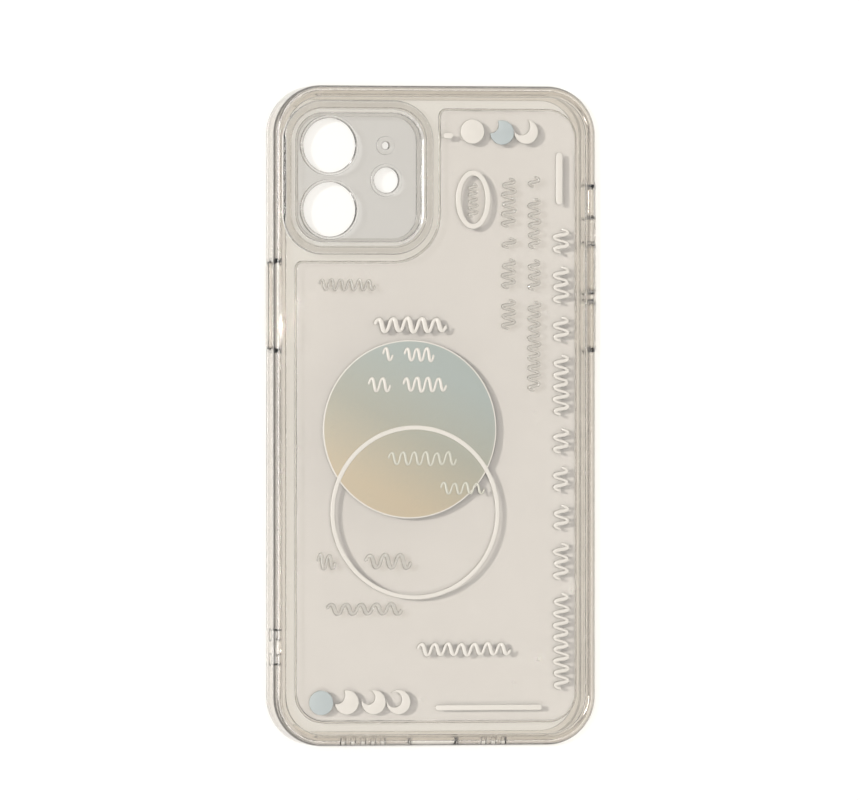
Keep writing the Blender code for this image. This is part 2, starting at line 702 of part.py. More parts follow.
SWITCH_Y = HANDSET_LENGTH / 2 - SWITCH_DROP
VOLUME_DOWN_Y = HANDSET_LENGTH / 2 - VOLUME_DOWN_DROP
LANYARD_Y = -HANDSET_LENGTH / 2 + LANYARD_RISE
KEYS = [
    ("power_button_cover", -1, HANDSET_LENGTH / 2 - POWER_KEY_DROP, POWER_KEY_LENGTH),
    ("volume_up_cover", 1, HANDSET_LENGTH / 2 - VOLUME_UP_DROP, VOLUME_KEY_LENGTH),
    ("volume_down_cover", 1, VOLUME_DOWN_Y, VOLUME_KEY_LENGTH),
]
KEYS_BY_SIDE = {side: [(y, length) for _, at, y, length in KEYS if at == side] for side in (-1, 1)}


def main():
    for old in list(bpy.data.objects):
        bpy.data.objects.remove(old)
    soft = material("soft_clear_tpu", "E8E2D8", 0.12, 0.9)
    hard = material("hard_clear_pc", "DED7CD", 0.05, 0.9)
    film = material("clear_film", "E2DCD2", 0.08, 0.9)
    inks = {
        "white": material("white_relief_ink", "EFE8DF", 0.45),
        "blue": material("blue_relief_ink", "BBC6C6", 0.45),
        "pale": material("pale_relief_ink", "D5D0BE", 0.45),
        "clear": material("clear_relief_ink", "CFCAC2", 0.2),
        "disc": material("gradient_print", "C4BFB0", 0.5),
    }
    make_bumper(soft)
    make_back_plate(hard)
    make_camera_guard(soft)
    make_camera_plate(hard)
    make_art_panel(film)
    for name, side, y, length in KEYS:
        make_key(name, side, y, length, soft)
    make_shapes(inks)
    make_strokes(inks)


main()
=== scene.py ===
"""A clear phone case with a raised camera guard and relief artwork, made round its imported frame.

The case lies on its front lip with the back up: +Z points out of the back, +Y to the top of the handset
and +X to the volume keys. Helper functions work in millimetres and turn to metres as each mesh is made.
"""

import json
import math
import random
from types import SimpleNamespace

import bmesh
import bpy
from bpy.props import FloatProperty, FloatVectorProperty, PointerProperty
from mathutils import Matrix, Vector


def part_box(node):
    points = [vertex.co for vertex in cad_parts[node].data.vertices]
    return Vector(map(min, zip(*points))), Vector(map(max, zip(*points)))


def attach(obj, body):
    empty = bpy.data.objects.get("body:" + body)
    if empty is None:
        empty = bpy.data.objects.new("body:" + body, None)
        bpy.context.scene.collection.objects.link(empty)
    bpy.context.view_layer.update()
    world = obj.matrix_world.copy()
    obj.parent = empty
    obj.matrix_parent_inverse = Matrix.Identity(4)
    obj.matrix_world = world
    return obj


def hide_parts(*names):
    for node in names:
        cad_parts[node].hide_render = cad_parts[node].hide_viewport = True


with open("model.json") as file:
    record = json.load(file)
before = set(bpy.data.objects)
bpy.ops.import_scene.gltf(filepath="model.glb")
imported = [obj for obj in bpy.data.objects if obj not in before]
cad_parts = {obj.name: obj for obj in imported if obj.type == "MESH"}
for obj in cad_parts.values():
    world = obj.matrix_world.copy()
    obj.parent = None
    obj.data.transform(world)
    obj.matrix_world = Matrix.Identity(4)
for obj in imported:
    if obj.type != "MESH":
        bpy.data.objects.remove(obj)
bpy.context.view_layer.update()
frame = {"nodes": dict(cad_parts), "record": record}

bl_info = {
    "name": "Clear phone case",
    "version": (1, 0, 0),
    "blender": (4, 5, 0),
    "location": "View3D > Sidebar > Phone Case",
    "description": "Builds a clear phone case with a camera guard and relief ink artwork",
    "category": "Mesh",
}

MM = 0.001
# How many steps a large corner, a rounded edge and the disc take.
CORNER_STEPS = 28
ROUND_STEPS = 6
DISC_STEPS = 128
# How far a cutting tool reaches past what it cuts.
PAST = 1.0


# ---------------------------------------------------------------- sizes and colours


def linear(colour):
    """A linear RGB colour from an sRGB hex string."""
    values = [int(colour[i : i + 2], 16) / 255 for i in (0, 2, 4)]
    return [v / 12.92 if v <= 0.04045 else ((v + 0.055) / 1.055) ** 2.4 for v in values]


def length(name, description, millimetres):
    """A length property with its default in millimetres."""
    return FloatProperty(
        name=name, description=description, default=millimetres * MM, min=0.0, unit="LENGTH", precision=5
    )


def colour(name, description, code):
    """A colour property with its default as an sRGB hex string."""
    return FloatVectorProperty(
        name=name, description=description, default=linear(code), min=0.0, max=1.0, subtype="COLOR"
    )


class CaseShellSizes(bpy.types.PropertyGroup):
    """Sizes of the moulded shell."""

    wall: length("Wall", "Thickness of the soft side wall", 1.9)
    lip_height: length("Lip height", "How far the lip stands in front of the handset's glass", 1.0)
    lip_reach: length("Lip reach", "How far the lip reaches in over the handset's glass", 1.25)
    back_round: length("Back round", "Radius of the outer edge towards the back", 1.8)
    lip_round: length("Lip round", "Radius of the outer edge towards the lip", 1.2)
    corner: length("Corner", "Radius of the case's corners in plan", 11.2)
    plate_margin: length("Plate margin", "From the side to the hard back plate's visible edge", 2.6)
    flange_margin: length("Flange margin", "From the side to the edge of the plate's hidden flange", 1.3)
    flange_rise: length("Flange rise", "From the inside of the back to the flange", 0.15)
    flange_depth: length("Flange depth", "Thickness of the flange", 0.65)
    seam: length("Seam", "Gap between two moulded pieces", 0.05)
    back: length("Back", "Thickness of the hard back plate", 1.5)
    mouth_round: length("Mouth round", "Rounding at the mouth of each opening", 0.3)


class CaseGuardSizes(bpy.types.PropertyGroup):
    """Sizes of the camera guard, its window and the openings."""

    corner: length("Corner", "Radius of the guard's corners in plan", 9.3)
    height: length("Height", "How far the guard stands above the back", 1.4)
    band: length("Band", "Width of the guard's frame", 2.95)
    ridge: length("Ridge", "Width of the guard's higher outer ridge", 1.6)
    step: length("Step", "Drop from the outer ridge to the inner one", 0.35)
    spigot: length("Spigot", "From the guard's side to the part that goes through the back", 2.05)
    ledge: length("Ledge", "Width of the ledge that carries the window", 0.75)
    window_raise: length("Window raise", "How far the window stands above the back", 0.5)
    window: length("Window", "Thickness of the window", 0.8)
    lens_hole: length("Lens hole", "Radius of each lens hole", 6.2)
    lens_rim: length("Lens rim", "Width of the rim round a lens hole", 0.7)
    lens_side_gap: length("Lens side gap", "From a lens rim to the window's side", 0.9)
    lens_end_gap: length("Lens end gap", "From a lens rim to the window's top or bottom", 0.4)
    lens_rim_height: length("Lens rim height", "How far a lens rim stands up", 0.8)
    flash_hole: length("Flash hole", "Radius of the flash hole", 2.9)
    flash_rim: length("Flash rim", "Width of the rim round the flash hole", 0.85)
    flash_rim_height: length("Flash rim height", "How far the flash rim stands up", 0.6)
    mic_hole: length("Microphone hole", "Radius of the rear microphone hole", 0.85)
    mic_rim: length("Microphone rim", "Width of the rim round that hole", 1.3)


class CaseKeySizes(bpy.types.PropertyGroup):
    """Sizes of the key covers and of the openings in the side walls."""

    height: length("Key height", "Height of a key cover", 3.4)
    proud: length("Key proud", "How far a cover stands out of the side", 0.7)
    round: length("Key round", "Radius of a cover's front edge", 0.45)
    gap: length("Key gap", "Gap round a cover in its window", 0.25)
    flange: length("Key flange", "Width of the flange that holds a cover in the wall", 0.7)
    flange_depth: length("Key flange depth", "Thickness of that flange", 0.5)
    skin: length("Key skin", "Thickness of the wall in front of the flange", 0.8)
    pad: length("Pad proud", "How far the raised pad round the volume keys stands out", 0.45)
    pad_height: length("Pad height", "Height of that pad", 6.4)
    switch_length: length("Switch opening", "Length of the ring switch's opening", 8.0)
    switch_height: length("Switch opening height", "Height of that opening", 4.8)
    switch_drop: length("Switch drop", "From the case's top edge to the middle of that opening", 26.45)
    port_width: length("Port width", "Width of the charging port's opening", 11.9)
    port_height: length("Port height", "Height of that opening", 5.4)
    slot_width: length("Slot width", "Width of a speaker slot", 1.35)
    slot_height: length("Slot height", "Height of a speaker slot", 3.2)
    slot_pitch: length("Slot pitch", "Distance from one slot to the next", 2.33)
    lanyard_rise: length("Lanyard rise", "From the case's bottom edge to the lanyard holes", 22.55)
    lanyard_pitch: length("Lanyard pitch", "Distance between the two lanyard holes", 5.6)
    lanyard_hole: length("Lanyard hole", "Size of a lanyard hole", 2.4)


class CaseInkSizes(bpy.types.PropertyGroup):
    """Sizes of the film panel and of the relief ink on it."""

    corner: length("Panel corner", "Radius of the film's large corners", 6.5)
    small_corner: length("Panel small corner", "Radius of the film's two small corners", 1.4)
    guard_gap: length("Guard gap", "Gap between the film and the camera guard", 1.85)
    recess: length("Recess", "Depth of the film's recess in the back", 0.4)
    edge: length("Film edge", "Rounding of the film's edge", 0.4)
    ink_height: length("Ink height", "Height of the relief ink", 0.24)
    ink_edge: length("Ink edge", "Rounding of the relief ink's edge", 0.12)
    stroke: length("Stroke", "Width of a wave's stroke", 0.62)
    ring_stroke: length("Ring stroke", "Width of the large ring's line", 1.0)
    oval_stroke: length("Oval stroke", "Width of the oval ring's line", 1.2)
    grain: length("Print grain", "Size of the print's visible grain", 0.45)
    flow: length("Flow mark", "Size of the faint waves left by moulding", 9.0)


class CaseColours(bpy.types.PropertyGroup):
    """Colours of the plastics, inks and floor."""

    soft: colour("Soft plastic", "Tint of the clear soft ring", "F8F6F3")
    guard: colour("Guard", "Tint of the camera guard's thicker plastic", "F0EFED")
    window: colour("Camera window", "Tint of the camera window", "E3E2E0")
    hard: colour("Hard plastic", "Tint of the clear hard back", "EDEBE7")
    film: colour("Film", "Tint of the clear film", "FCFBFB")
    varnish: colour("Clear relief", "Tint of the clear relief varnish", "D9D6D0")
    white: colour("White ink", "White relief ink", "D1CCC4")
    blue: colour("Blue ink", "Pale blue relief ink", "AAB1B1")
    pale: colour("Pale ink", "Pale relief ink on the disc", "BEBCAF")
    disc_top: colour("Disc top", "The printed disc's colour at the top", "9BA29D")
    disc_middle: colour("Disc middle", "The printed disc's colour in the middle", "9C9B8E")
    disc_low: colour("Disc bottom", "The printed disc's colour at the bottom", "B2A48C")
    floor: colour("Floor", "The pale floor", "F5F4F2")


GROUPS = {
    "case_shell": CaseShellSizes,
    "case_guard": CaseGuardSizes,
    "case_keys": CaseKeySizes,
    "case_ink": CaseInkSizes,
    "case_colours": CaseColours,
}


def sizes(group):
    """A property group's lengths in millimetres."""
    held = getattr(bpy.context.scene, group)
    names = GROUPS[group].__annotations__
    return SimpleNamespace(**{name: getattr(held, name) / MM for name in names})


def chosen(name):
    """One of the colours, as the four numbers that a shader socket takes."""
    return (*getattr(bpy.context.scene.case_colours, name), 1.0)


def box(node):
    """A frame node's lowest and highest corners, its middle and half its size, in millimetres."""
    low, high = [Vector(corner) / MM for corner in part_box(node)]
    return SimpleNamespace(low=low, high=high, middle=(low + high) / 2, half=(high - low) / 2)


# ---------------------------------------------------------------- outlines


def arc(x, y, radius, start, end, steps):
    """Points along a circle from one angle to another, in degrees, both ends included."""
    angles = [math.radians(start + (end - start) * i / steps) for i in range(steps + 1)]
    return [(x + radius * math.cos(a), y + radius * math.sin(a)) for a in angles]


def ellipse(x, y, half_x, half_y, steps=96):
    """A closed oval outline."""
    angles = [2 * math.pi * i / steps for i in range(steps)]
    return [(x + half_x * math.cos(a), y + half_y * math.sin(a)) for a in angles]


def circle(x, y, radius, steps=96):
    """A closed round outline."""
    return ellipse(x, y, radius, radius, steps)


def rounded_box(half_x, half_y, radius, x=0.0, y=0.0, steps=CORNER_STEPS):
    """A rectangle with round corners, anticlockwise from the lower right."""
    points = []
    for turn, (sx, sy) in enumerate(((1, -1), (1, 1), (-1, 1), (-1, -1))):
        cx = x + sx * (half_x - radius)
        cy = y + sy * (half_y - radius)
        points += arc(cx, cy, radius, 90 * turn - 90, 90 * turn, steps)
    return points


def stadium(across, height, x=0.0, y=0.0, steps=14):
    """A bar along X with round ends."""
    reach = (across - height) / 2
    right = arc(x + reach, y, height / 2, -90, 90, steps)
    left = arc(x - reach, y, height / 2, 90, 270, steps)
    return right + left


def filleted(corners, steps=ROUND_STEPS):
    """A closed outline from (x, y, radius) corners, each rounded by its own radius."""
    points = []
    for i, (x, y, radius) in enumerate(corners):
        if radius == 0:
            points.append((x, y))
            continue
        before = corners[i - 1]
        after = corners[(i + 1) % len(corners)]
        to_before = math.atan2(before[1] - y, before[0] - x)
        to_after = math.atan2(after[1] - y, after[0] - x)
        half = (to_after - to_before) / 2
        half = math.atan2(math.sin(half * 2), math.cos(half * 2)) / 2
        middle = to_before + half
        reach = radius / abs(math.sin(half))
        cx = x + reach * math.cos(middle)
        cy = y + reach * math.sin(middle)
        turn = math.copysign(90 - abs(math.degrees(half)), half)
        facing = math.degrees(middle) + 180
        points += arc(cx, cy, radius, facing + turn, facing - turn, steps)
    return points


def moon(x, y, radius, bite, inset, steps=64):
    """A disc, or a disc with a round bite, drawn in by inset. The bite is given in moon radii."""
    if bite is None:
        return circle(x, y, radius - inset, steps)
    dx, dy = bite[0] * radius, bite[1] * radius
    bitten = bite[2] * radius + inset
    radius -= inset
    distance = math.hypot(dx, dy)
    facing = math.degrees(math.atan2(dy, dx))
    across = (radius**2 - bitten**2 + distance**2) / (2 * distance)
    outer = math.degrees(math.acos(across / radius))
    inner = math.degrees(math.acos((across - distance) / bitten))
    lit = arc(x, y, radius, facing + outer, facing + 360 - outer, steps)
    dark = arc(x + dx, y + dy, bitten, facing - inner, facing - 360 + inner, steps // 2)
    return lit + dark[1:-1]


def round_over(height, soft, steps=ROUND_STEPS):
    """(inset, height) steps of an edge that is rounded over at the top."""
    turns = [math.radians(90 * i / steps) for i in range(steps + 1)]
    return [(soft * (1 - math.cos(t)), height - soft * (1 - math.sin(t))) for t in turns]


# ---------------------------------------------------------------- meshes


def link(name, mesh, surface=None, angle=35.0):
    """A named object for a finished bmesh, with its faces pointing out and its round parts smooth."""
    bmesh.ops.recalc_face_normals(mesh, faces=mesh.faces)
    data = bpy.data.meshes.new(name)
    mesh.to_mesh(data)
    mesh.free()
    data.shade_smooth()
    data.set_sharp_from_angle(angle=math.radians(angle))
    made = bpy.data.objects.new(name, data)
    bpy.context.scene.collection.objects.link(made)
    if surface:
        data.materials.append(surface)
    return made


def add_loops(mesh, loops, closed=False):
    """Skins equal point loops. A closed skin joins the last to the first, and an open one is capped."""
    rows = [[mesh.verts.new([c * MM for c in point]) for point in loop] for loop in loops]
    count = len(rows[0])
    pairs = list(zip(rows, rows[1:]))
    if closed:
        pairs.append((rows[-1], rows[0]))
    for lower, upper in pairs:
        for i in range(count):
            j = (i + 1) % count
            mesh.faces.new((lower[i], lower[j], upper[j], upper[i]))
    if not closed:
        mesh.faces.new(rows[0][::-1])
        mesh.faces.new(rows[-1])


def at_height(outline, z):
    """A flat outline lifted to a height."""
    return [(x, y, z) for x, y in outline]


def skinned(name, stacks, surface=None, closed=False):
    """One object from stacks of (outline, height) layers."""
    mesh = bmesh.new()
    for layers in stacks:
        add_loops(mesh, [at_height(outline, z) for outline, z in layers], closed)
    return link(name, mesh, surface)


def swept_ring(name, half_x, half_y, corner, profile, surface, x=0.0, y=0.0):
    """A closed ring: each (inset, z) point of the profile is carried round a rounded rectangle."""
    layers = [(rounded_box(half_x - i, half_y - i, corner - i, x, y), z) for i, z in profile]
    return skinned(name, [layers], surface, True)


def plain(made):
    """Turns an object's live modifiers into its mesh."""
    graph = bpy.context.evaluated_depsgraph_get()
    data = bpy.data.meshes.new_from_object(made.evaluated_get(graph), depsgraph=graph)
    made.modifiers.clear()
    made.data = data
    return made


def boolean(target, tool, operation):
    """Joins a tool to a solid or cuts it away, and removes the tool."""
    step = target.modifiers.new("cut", "BOOLEAN")
    step.operation = operation
    step.solver = "EXACT"
    step.object = tool
    plain(target)
    bpy.data.objects.remove(tool)


def settle(made, angle=35.0):
    """Sharpens the true edges and evens out the shading on the large flat faces."""
    made.data.shade_smooth()
    made.data.set_sharp_from_angle(angle=math.radians(angle))
    step = made.modifiers.new("even shading", "WEIGHTED_NORMAL")
    step.keep_sharp = True
    return plain(made)


def side_cutter(mesh, outline_at, steps, axis):
    """A stepped prism through a side wall, from (depth, grow) steps."""
    loops = []
    for depth, grow in steps:
        outline = outline_at(grow)
        if axis == "X":
            loops.append([(depth, along, z) for along, z in outline])
        else:
            loops.append([(along, depth, z) for along, z in outline])
    add_loops(mesh, loops)


def mouth(side, face, soft):
    """The flared first steps of an opening, from outside the wall to where it is straight."""
    steps = [(face + side, soft)]
    for i in range(ROUND_STEPS + 1):
        turn = math.radians(90 * i / ROUND_STEPS)
        steps.append((face - side * soft * math.sin(turn), soft * (1 - math.cos(turn))))
    return steps


# ---------------------------------------------------------------- nodes


def add(tree, kind, sockets=None, **settings):
    """Adds one node with its settings, then fills its sockets with values or with links. A node given as a
    value stands for its first output."""
    node = tree.nodes.new(kind)
    for name, value in settings.items():
        setattr(node, name, value)
    for name, value in (sockets or {}).items():
        if isinstance(value, bpy.types.Node):
            value = value.outputs[0]
        if isinstance(value, bpy.types.NodeSocket):
            tree.links.new(value, node.inputs[name])
        else:
            node.inputs[name].default_value = value
    return node


def geometry_tree(name, inputs):
    """An empty Geometry Nodes tree with a Geometry input and output and the named inputs."""
    tree = bpy.data.node_groups.new(name, "GeometryNodeTree")
    tree.interface.new_socket("Geometry", in_out="INPUT", socket_type="NodeSocketGeometry")
    for label, kind, value in inputs:
        socket = tree.interface.new_socket(label, in_out="INPUT", socket_type=kind)
        if value is not None:
            socket.default_value = value
    tree.interface.new_socket("Geometry", in_out="OUTPUT", socket_type="NodeSocketGeometry")
    return tree, add(tree, "NodeGroupInput").outputs


def run_tree(made, tree, values):
    """Runs a tree on an object with the named inputs, and leaves a plain mesh."""
    step = made.modifiers.new(tree.name, "NODES")
    step.node_group = tree
    for item in tree.interface.items_tree:
        if item.in_out == "INPUT" and item.name in values:
            step[item.identifier] = values[item.name]
    return plain(made)


def relief_stroke_tree():
    """A bead of relief ink along every line of a mesh: full on the down strokes, fine on the up strokes."""
    tree, given = geometry_tree(
        "relief stroke",
        [
            ("Width", "NodeSocketFloat", 0.0006),
            ("Fine Share", "NodeSocketFloat", 0.5),
            ("Height", "NodeSocketFloat", 0.0002),
            ("Step", "NodeSocketFloat", 0.00025),
            ("Down", "NodeSocketVector", (0.0, -1.0, 0.0)),
            ("Material", "NodeSocketMaterial", None),
        ],
    )
    lines = add(tree, "GeometryNodeMeshToCurve", {"Mesh": given["Geometry"]})
    even = add(tree, "GeometryNodeResampleCurve", {"Curve": lines, "Length": given["Step"]}, mode="LENGTH")
    flat = add(tree, "GeometryNodeSetCurveNormal", {"Curve": even}, mode="Z_UP")

    # The width follows the direction of the stroke, and closes to a round end over half a width.
    tangent = add(tree, "GeometryNodeInputTangent")
    facing = add(tree, "ShaderNodeVectorMath", {0: tangent, 1: given["Down"]}, operation="DOT_PRODUCT")
    pressed = add(tree, "ShaderNodeMapRange", interpolation_type="SMOOTHSTEP", sockets={
        "Value": facing.outputs["Value"],
        "From Min": -0.4,
        "From Max": 0.75,
        "To Min": given["Fine Share"],
    })
    along = add(tree, "GeometryNodeSplineParameter")
    whole = add(tree, "GeometryNodeSplineLength")
    left = add(tree, "ShaderNodeMath", operation="SUBTRACT", sockets={
        0: whole.outputs["Length"], 1: along.outputs["Length"],
    })
    near = add(tree, "ShaderNodeMath", {0: along.outputs["Length"], 1: left}, operation="MINIMUM")
    half = add(tree, "ShaderNodeMath", {0: given["Width"], 1: 0.5}, operation="MULTIPLY")
    share = add(tree, "ShaderNodeMath", {0: near, 1: half}, operation="DIVIDE", use_clamp=True)
    back = add(tree, "ShaderNodeMath", {0: 1.0, 1: share}, operation="SUBTRACT")
    squared = add(tree, "ShaderNodeMath", {0: back, 1: back}, operation="MULTIPLY")
    open_end = add(tree, "ShaderNodeMath", {0: 1.0, 1: squared}, operation="SUBTRACT")
    rounding = add(tree, "ShaderNodeMath", {0: open_end, 1: 0.5}, operation="POWER")
    rounding = add(tree, "ShaderNodeMath", {0: rounding, 1: 0.12}, operation="MAXIMUM")
    scale = add(tree, "ShaderNodeMath", {0: pressed, 1: rounding}, operation="MULTIPLY")

    # The section: a circle whose lower half is flat and whose upper half is a low, full dome.
    ring = add(tree, "GeometryNodeCurvePrimitiveCircle", {"Resolution": 12, "Radius": 1.0})
    place = add(tree, "GeometryNodeInputPosition")
    parts = add(tree, "ShaderNodeSeparateXYZ", {0: place})
    upper = add(tree, "ShaderNodeMath", {0: parts.outputs["Y"], 1: 0.0}, operation="MAXIMUM")
    dome = add(tree, "ShaderNodeMath", {0: upper, 1: 0.55}, operation="POWER")
    high = add(tree, "ShaderNodeMath", {0: dome, 1: given["Height"]}, operation="MULTIPLY")
    above = add(tree, "ShaderNodeMath", {0: high, 1: -1.0}, operation="MULTIPLY")
    wide = add(tree, "ShaderNodeMath", {0: parts.outputs["X"], 1: half}, operation="MULTIPLY")
    section = add(tree, "ShaderNodeCombineXYZ", {"X": wide, "Y": above})
    shaped = add(tree, "GeometryNodeSetPosition", {"Geometry": ring, "Position": section})
    bead = add(tree, "GeometryNodeCurveToMesh", {
        "Curve": flat, "Profile Curve": shaped, "Scale": scale, "Fill Caps": True,
    })
    smooth = add(tree, "GeometryNodeSetShadeSmooth", {"Geometry": bead})
    real = add(tree, "GeometryNodeRealizeInstances", {"Geometry": smooth})
    done = add(tree, "GeometryNodeSetMaterial", {"Geometry": real, "Material": given["Material"]})
    add(tree, "NodeGroupOutput", {"Geometry": done})
    return tree


def spaced_row_tree():
    """Copies of one shape in an even row along X, centred on the shape's own place."""
    tree, given = geometry_tree(
        "spaced row",
        [
            ("Count", "NodeSocketInt", 3),
            ("Pitch", "NodeSocketFloat", 0.002),
            ("Material", "NodeSocketMaterial", None),
        ],
    )
    fewer = add(tree, "ShaderNodeMath", {0: given["Count"], 1: 1.0}, operation="SUBTRACT")
    reach = add(tree, "ShaderNodeMath", {0: fewer, 1: given["Pitch"]}, operation="MULTIPLY")
    first = add(tree, "ShaderNodeMath", {0: reach, 1: -0.5}, operation="MULTIPLY")
    start = add(tree, "ShaderNodeCombineXYZ", {"X": first})
    gap = add(tree, "ShaderNodeCombineXYZ", {"X": given["Pitch"]})
    places = add(tree, "GeometryNodeMeshLine", {
        "Count": given["Count"], "Start Location": start, "Offset": gap,
    })
    copies = add(tree, "GeometryNodeInstanceOnPoints", {"Points": places, "Instance": given["Geometry"]})
    real = add(tree, "GeometryNodeRealizeInstances", {"Geometry": copies})
    done = add(tree, "GeometryNodeSetMaterial", {"Geometry": real, "Material": given["Material"]})
    add(tree, "NodeGroupOutput", {"Geometry": done})
    return tree


# ---------------------------------------------------------------- materials


def per_metre(millimetres):
    """A noise scale whose features are about this size."""
    return 1.0 / (millimetres * MM)


def new_material(name):
    """A material with an empty node tree."""
    made = bpy.data.materials.new(name)
    made.use_nodes = True
    tree = made.node_tree
    tree.nodes.clear()
    return made, tree


def blotches(tree, size, detail=2.0, seed=0.0):
    """Noise on Object coordinates whose patches are about this many millimetres across."""
    place = add(tree, "ShaderNodeTexCoord").outputs["Object"]
    sockets = {"Vector": place, "W": seed, "Scale": per_metre(size), "Detail": detail}
    return add(tree, "ShaderNodeTexNoise", sockets, noise_dimensions="4D")


def ramp(tree, factor, stops):
    """A colour ramp through (place, colour) stops."""
    node = add(tree, "ShaderNodeValToRGB", {"Fac": factor})
    points = node.color_ramp.elements
    while len(points) < len(stops):
        points.new(0.5)
    for point, (place, shade) in zip(points, stops):
        point.position = place
        point.color = shade
    return node


def spread(tree, factor, low, high):
    """A number that wanders between two values with a noise."""
    return add(tree, "ShaderNodeMapRange", {"Value": factor, "To Min": low, "To Max": high})


def bumped(tree, height, distance):
    """Surface relief of a real depth in millimetres."""
    return add(tree, "ShaderNodeBump", {"Height": height, "Distance": distance * MM})


def shaded(shade, amount):
    """A colour made lighter or darker by a share of itself."""
    return (*[min(1.0, c * amount) for c in shade[:3]], 1.0)


# How strongly clear plastic darkens along a long path, such as down the height of the wall, and to what.
DEPTH_DENSITY = 45.0
DEPTH_COLOUR = (0.74, 0.71, 0.68, 1.0)
# A rounded edge's shadow keeps this share of the light.
EDGE_SHADE = 0.72
# How upright a face's normal is where the painted shade along a rounded edge, and the dimmer band in its
# shadow, begin, hold and end.
EDGE_SHADE_BANDS = (0.03, 0.16, 0.5, 0.86)


def clear_plastic(name, colour, ior, rough, waves, depth, haze, edge, through=1.0):
    """Clear moulded plastic. Light that goes on through it to what lies below keeps its line and tint."""
    made, tree = new_material(name)
    tint = chosen(colour)
    flow = waves * sizes("case_ink").flow
    body = ramp(tree, blotches(tree, flow * 2.2, 2.0, 4.0), [(0.3, shaded(tint, 0.985)), (0.7, tint)])

    # Where a face rounds from flat to upright it bends the light away, so every moulded edge gets a darker
    # line of painted shade in its base colour, and a matching dimmer band in its shadow. Seen almost edge
    # on, any clear face gets painted shade in its colour too.
    normal = add(tree, "ShaderNodeNewGeometry").outputs["Normal"]
    upright = add(tree, "ShaderNodeSeparateXYZ", {0: normal}).outputs["Z"]
    flat = add(tree, "ShaderNodeMath", {0: upright}, operation="ABSOLUTE")
    # line is painted shade in the base colour along rounded edges; shade dims the light that passes to
    # their shadow.
    line, shade = [
        ramp(tree, flat, [(at, (share, share, share, 1.0)) for at, share in ends])
        for ends in [zip(EDGE_SHADE_BANDS, (1.0, least, least, 1.0)) for least in (edge, EDGE_SHADE)]
    ]
    # Painted shade: the base colour darkens where a face is seen almost edge on.
    steep = add(tree, "ShaderNodeLayerWeight", {"Blend": 0.5}).outputs["Facing"]
    painted_grazing_shade = add(tree, "ShaderNodeMapRange", interpolation_type="SMOOTHSTEP", sockets={
        "Value": steep, "From Min": 0.8, "From Max": 1.0, "To Min": 1.0, "To Max": 0.6,
    })
    painted_edge_shaded = add(tree, "ShaderNodeVectorMath", {0: body, 1: line}, operation="MULTIPLY")
    edged = add(tree, "ShaderNodeVectorMath", {0: painted_edge_shaded, 1: painted_grazing_shade}, operation="MULTIPLY")
    gloss = add(tree, "ShaderNodeBsdfPrincipled", {
        "Base Color": edged,
        "Roughness": spread(tree, blotches(tree, haze, 4.0, 9.0), rough * 0.4, rough),
        "Transmission Weight": through,
        "IOR": ior,
        "Normal": bumped(tree, blotches(tree, flow, 1.0), depth),
    })
    thin = shaded([c**0.5 for c in tint[:3]], 1.0)
    passed = add(tree, "ShaderNodeVectorMath", {0: thin[:3], 1: shade}, operation="MULTIPLY")
    passing = add(tree, "ShaderNodeBsdfTransparent", {"Color": passed})
    ray = add(tree, "ShaderNodeLightPath")
    both = add(tree, "ShaderNodeMixShader", {0: ray.outputs["Is Shadow Ray"], 1: gloss, 2: passing})
    absorbed = add(tree, "ShaderNodeVolumeAbsorption", {"Color": DEPTH_COLOUR, "Density": DEPTH_DENSITY})
    add(tree, "ShaderNodeOutputMaterial", {"Surface": both, "Volume": absorbed})
    return made


# Each clear plastic: its tint, IOR, roughness, the size of its waves as a share of the flow mark, their
# depth and the size of its haze in millimetres, and how much of its tint the painted shade along its
# rounded edges keeps.
CLEAR_PLASTICS = {
    # Injection moulded: glossy and a little wavy, with faint handling haze.
    "moulded_clear_tpu": dict(
        colour="soft", ior=1.5, rough=0.026, waves=1.0, depth=0.004, haze=5.0, edge=0.06
    ),
    # From a polished mould: flatter and glossier than the soft ring.
    "polished_clear_polycarbonate": dict(
        colour="hard", ior=1.58, rough=0.02, waves=1.8, depth=0.006, haze=7.0, edge=0.3
    ),
    # The soft ring's plastic in a thicker wall, so a little greyer.
    "thick_clear_tpu": dict(
        colour="guard", ior=1.5, rough=0.026, waves=1.0, depth=0.004, haze=5.0, edge=0.2
    ),
    # The flattest and glossiest of the clear pieces, cooler than the back.
    "cast_clear_acrylic": dict(
        colour="window", ior=1.49, rough=0.015, waves=20 / 9, depth=0.002, haze=7.0, edge=0.25
    ),
    # Flat print film, with the faint orange peel of a rolled sheet.
    "rolled_clear_acrylic_film": dict(
        colour="film", ior=1.49, rough=0.026, waves=1 / 3, depth=0.003, haze=4.0, edge=0.3
    ),
    # UV-cured: milky at its edges, with the ripple of the print head's passes.
    "cured_clear_relief_varnish": dict(
        colour="varnish", ior=1.49, rough=0.12, waves=0.1, depth=0.02, haze=1.2, edge=0.45, through=0.6
    ),
}
INKS = {
    "cured_white_relief_ink": "white",
    "cured_blue_relief_ink": "blue",
    "cured_pale_relief_ink": "pale",
}


def relief_ink(name):
    """Opaque UV-cured relief ink: satin, lightly stippled, each droplet a little lighter or darker.
    Real droplets are under 0.1 mm, so the stipple is drawn several times coarser to show."""
    made, tree = new_material(name)
    shade = chosen(INKS[name])
    grain = sizes("case_ink").grain
    drops = blotches(tree, grain, 3.0)
    body = ramp(tree, blotches(tree, grain * 4, 3.0, 2.0), [(0.3, shaded(shade, 0.975)), (0.7, shade)])
    satin = add(tree, "ShaderNodeBsdfPrincipled", {
        "Base Color": body,
        "Roughness": spread(tree, drops, 0.32, 0.5),
        "IOR": 1.5,
        "Coat Weight": 0.15,
        "Coat Roughness": 0.2,
        "Normal": bumped(tree, drops, 0.02),
    })
    add(tree, "ShaderNodeOutputMaterial", {"Surface": satin})
    return made


# The turn of the disc's fade in degrees, and the white line at its edge as shares of its width.
FADE_TURN = -27.0
DISC_RIM = (0.491, 0.494)


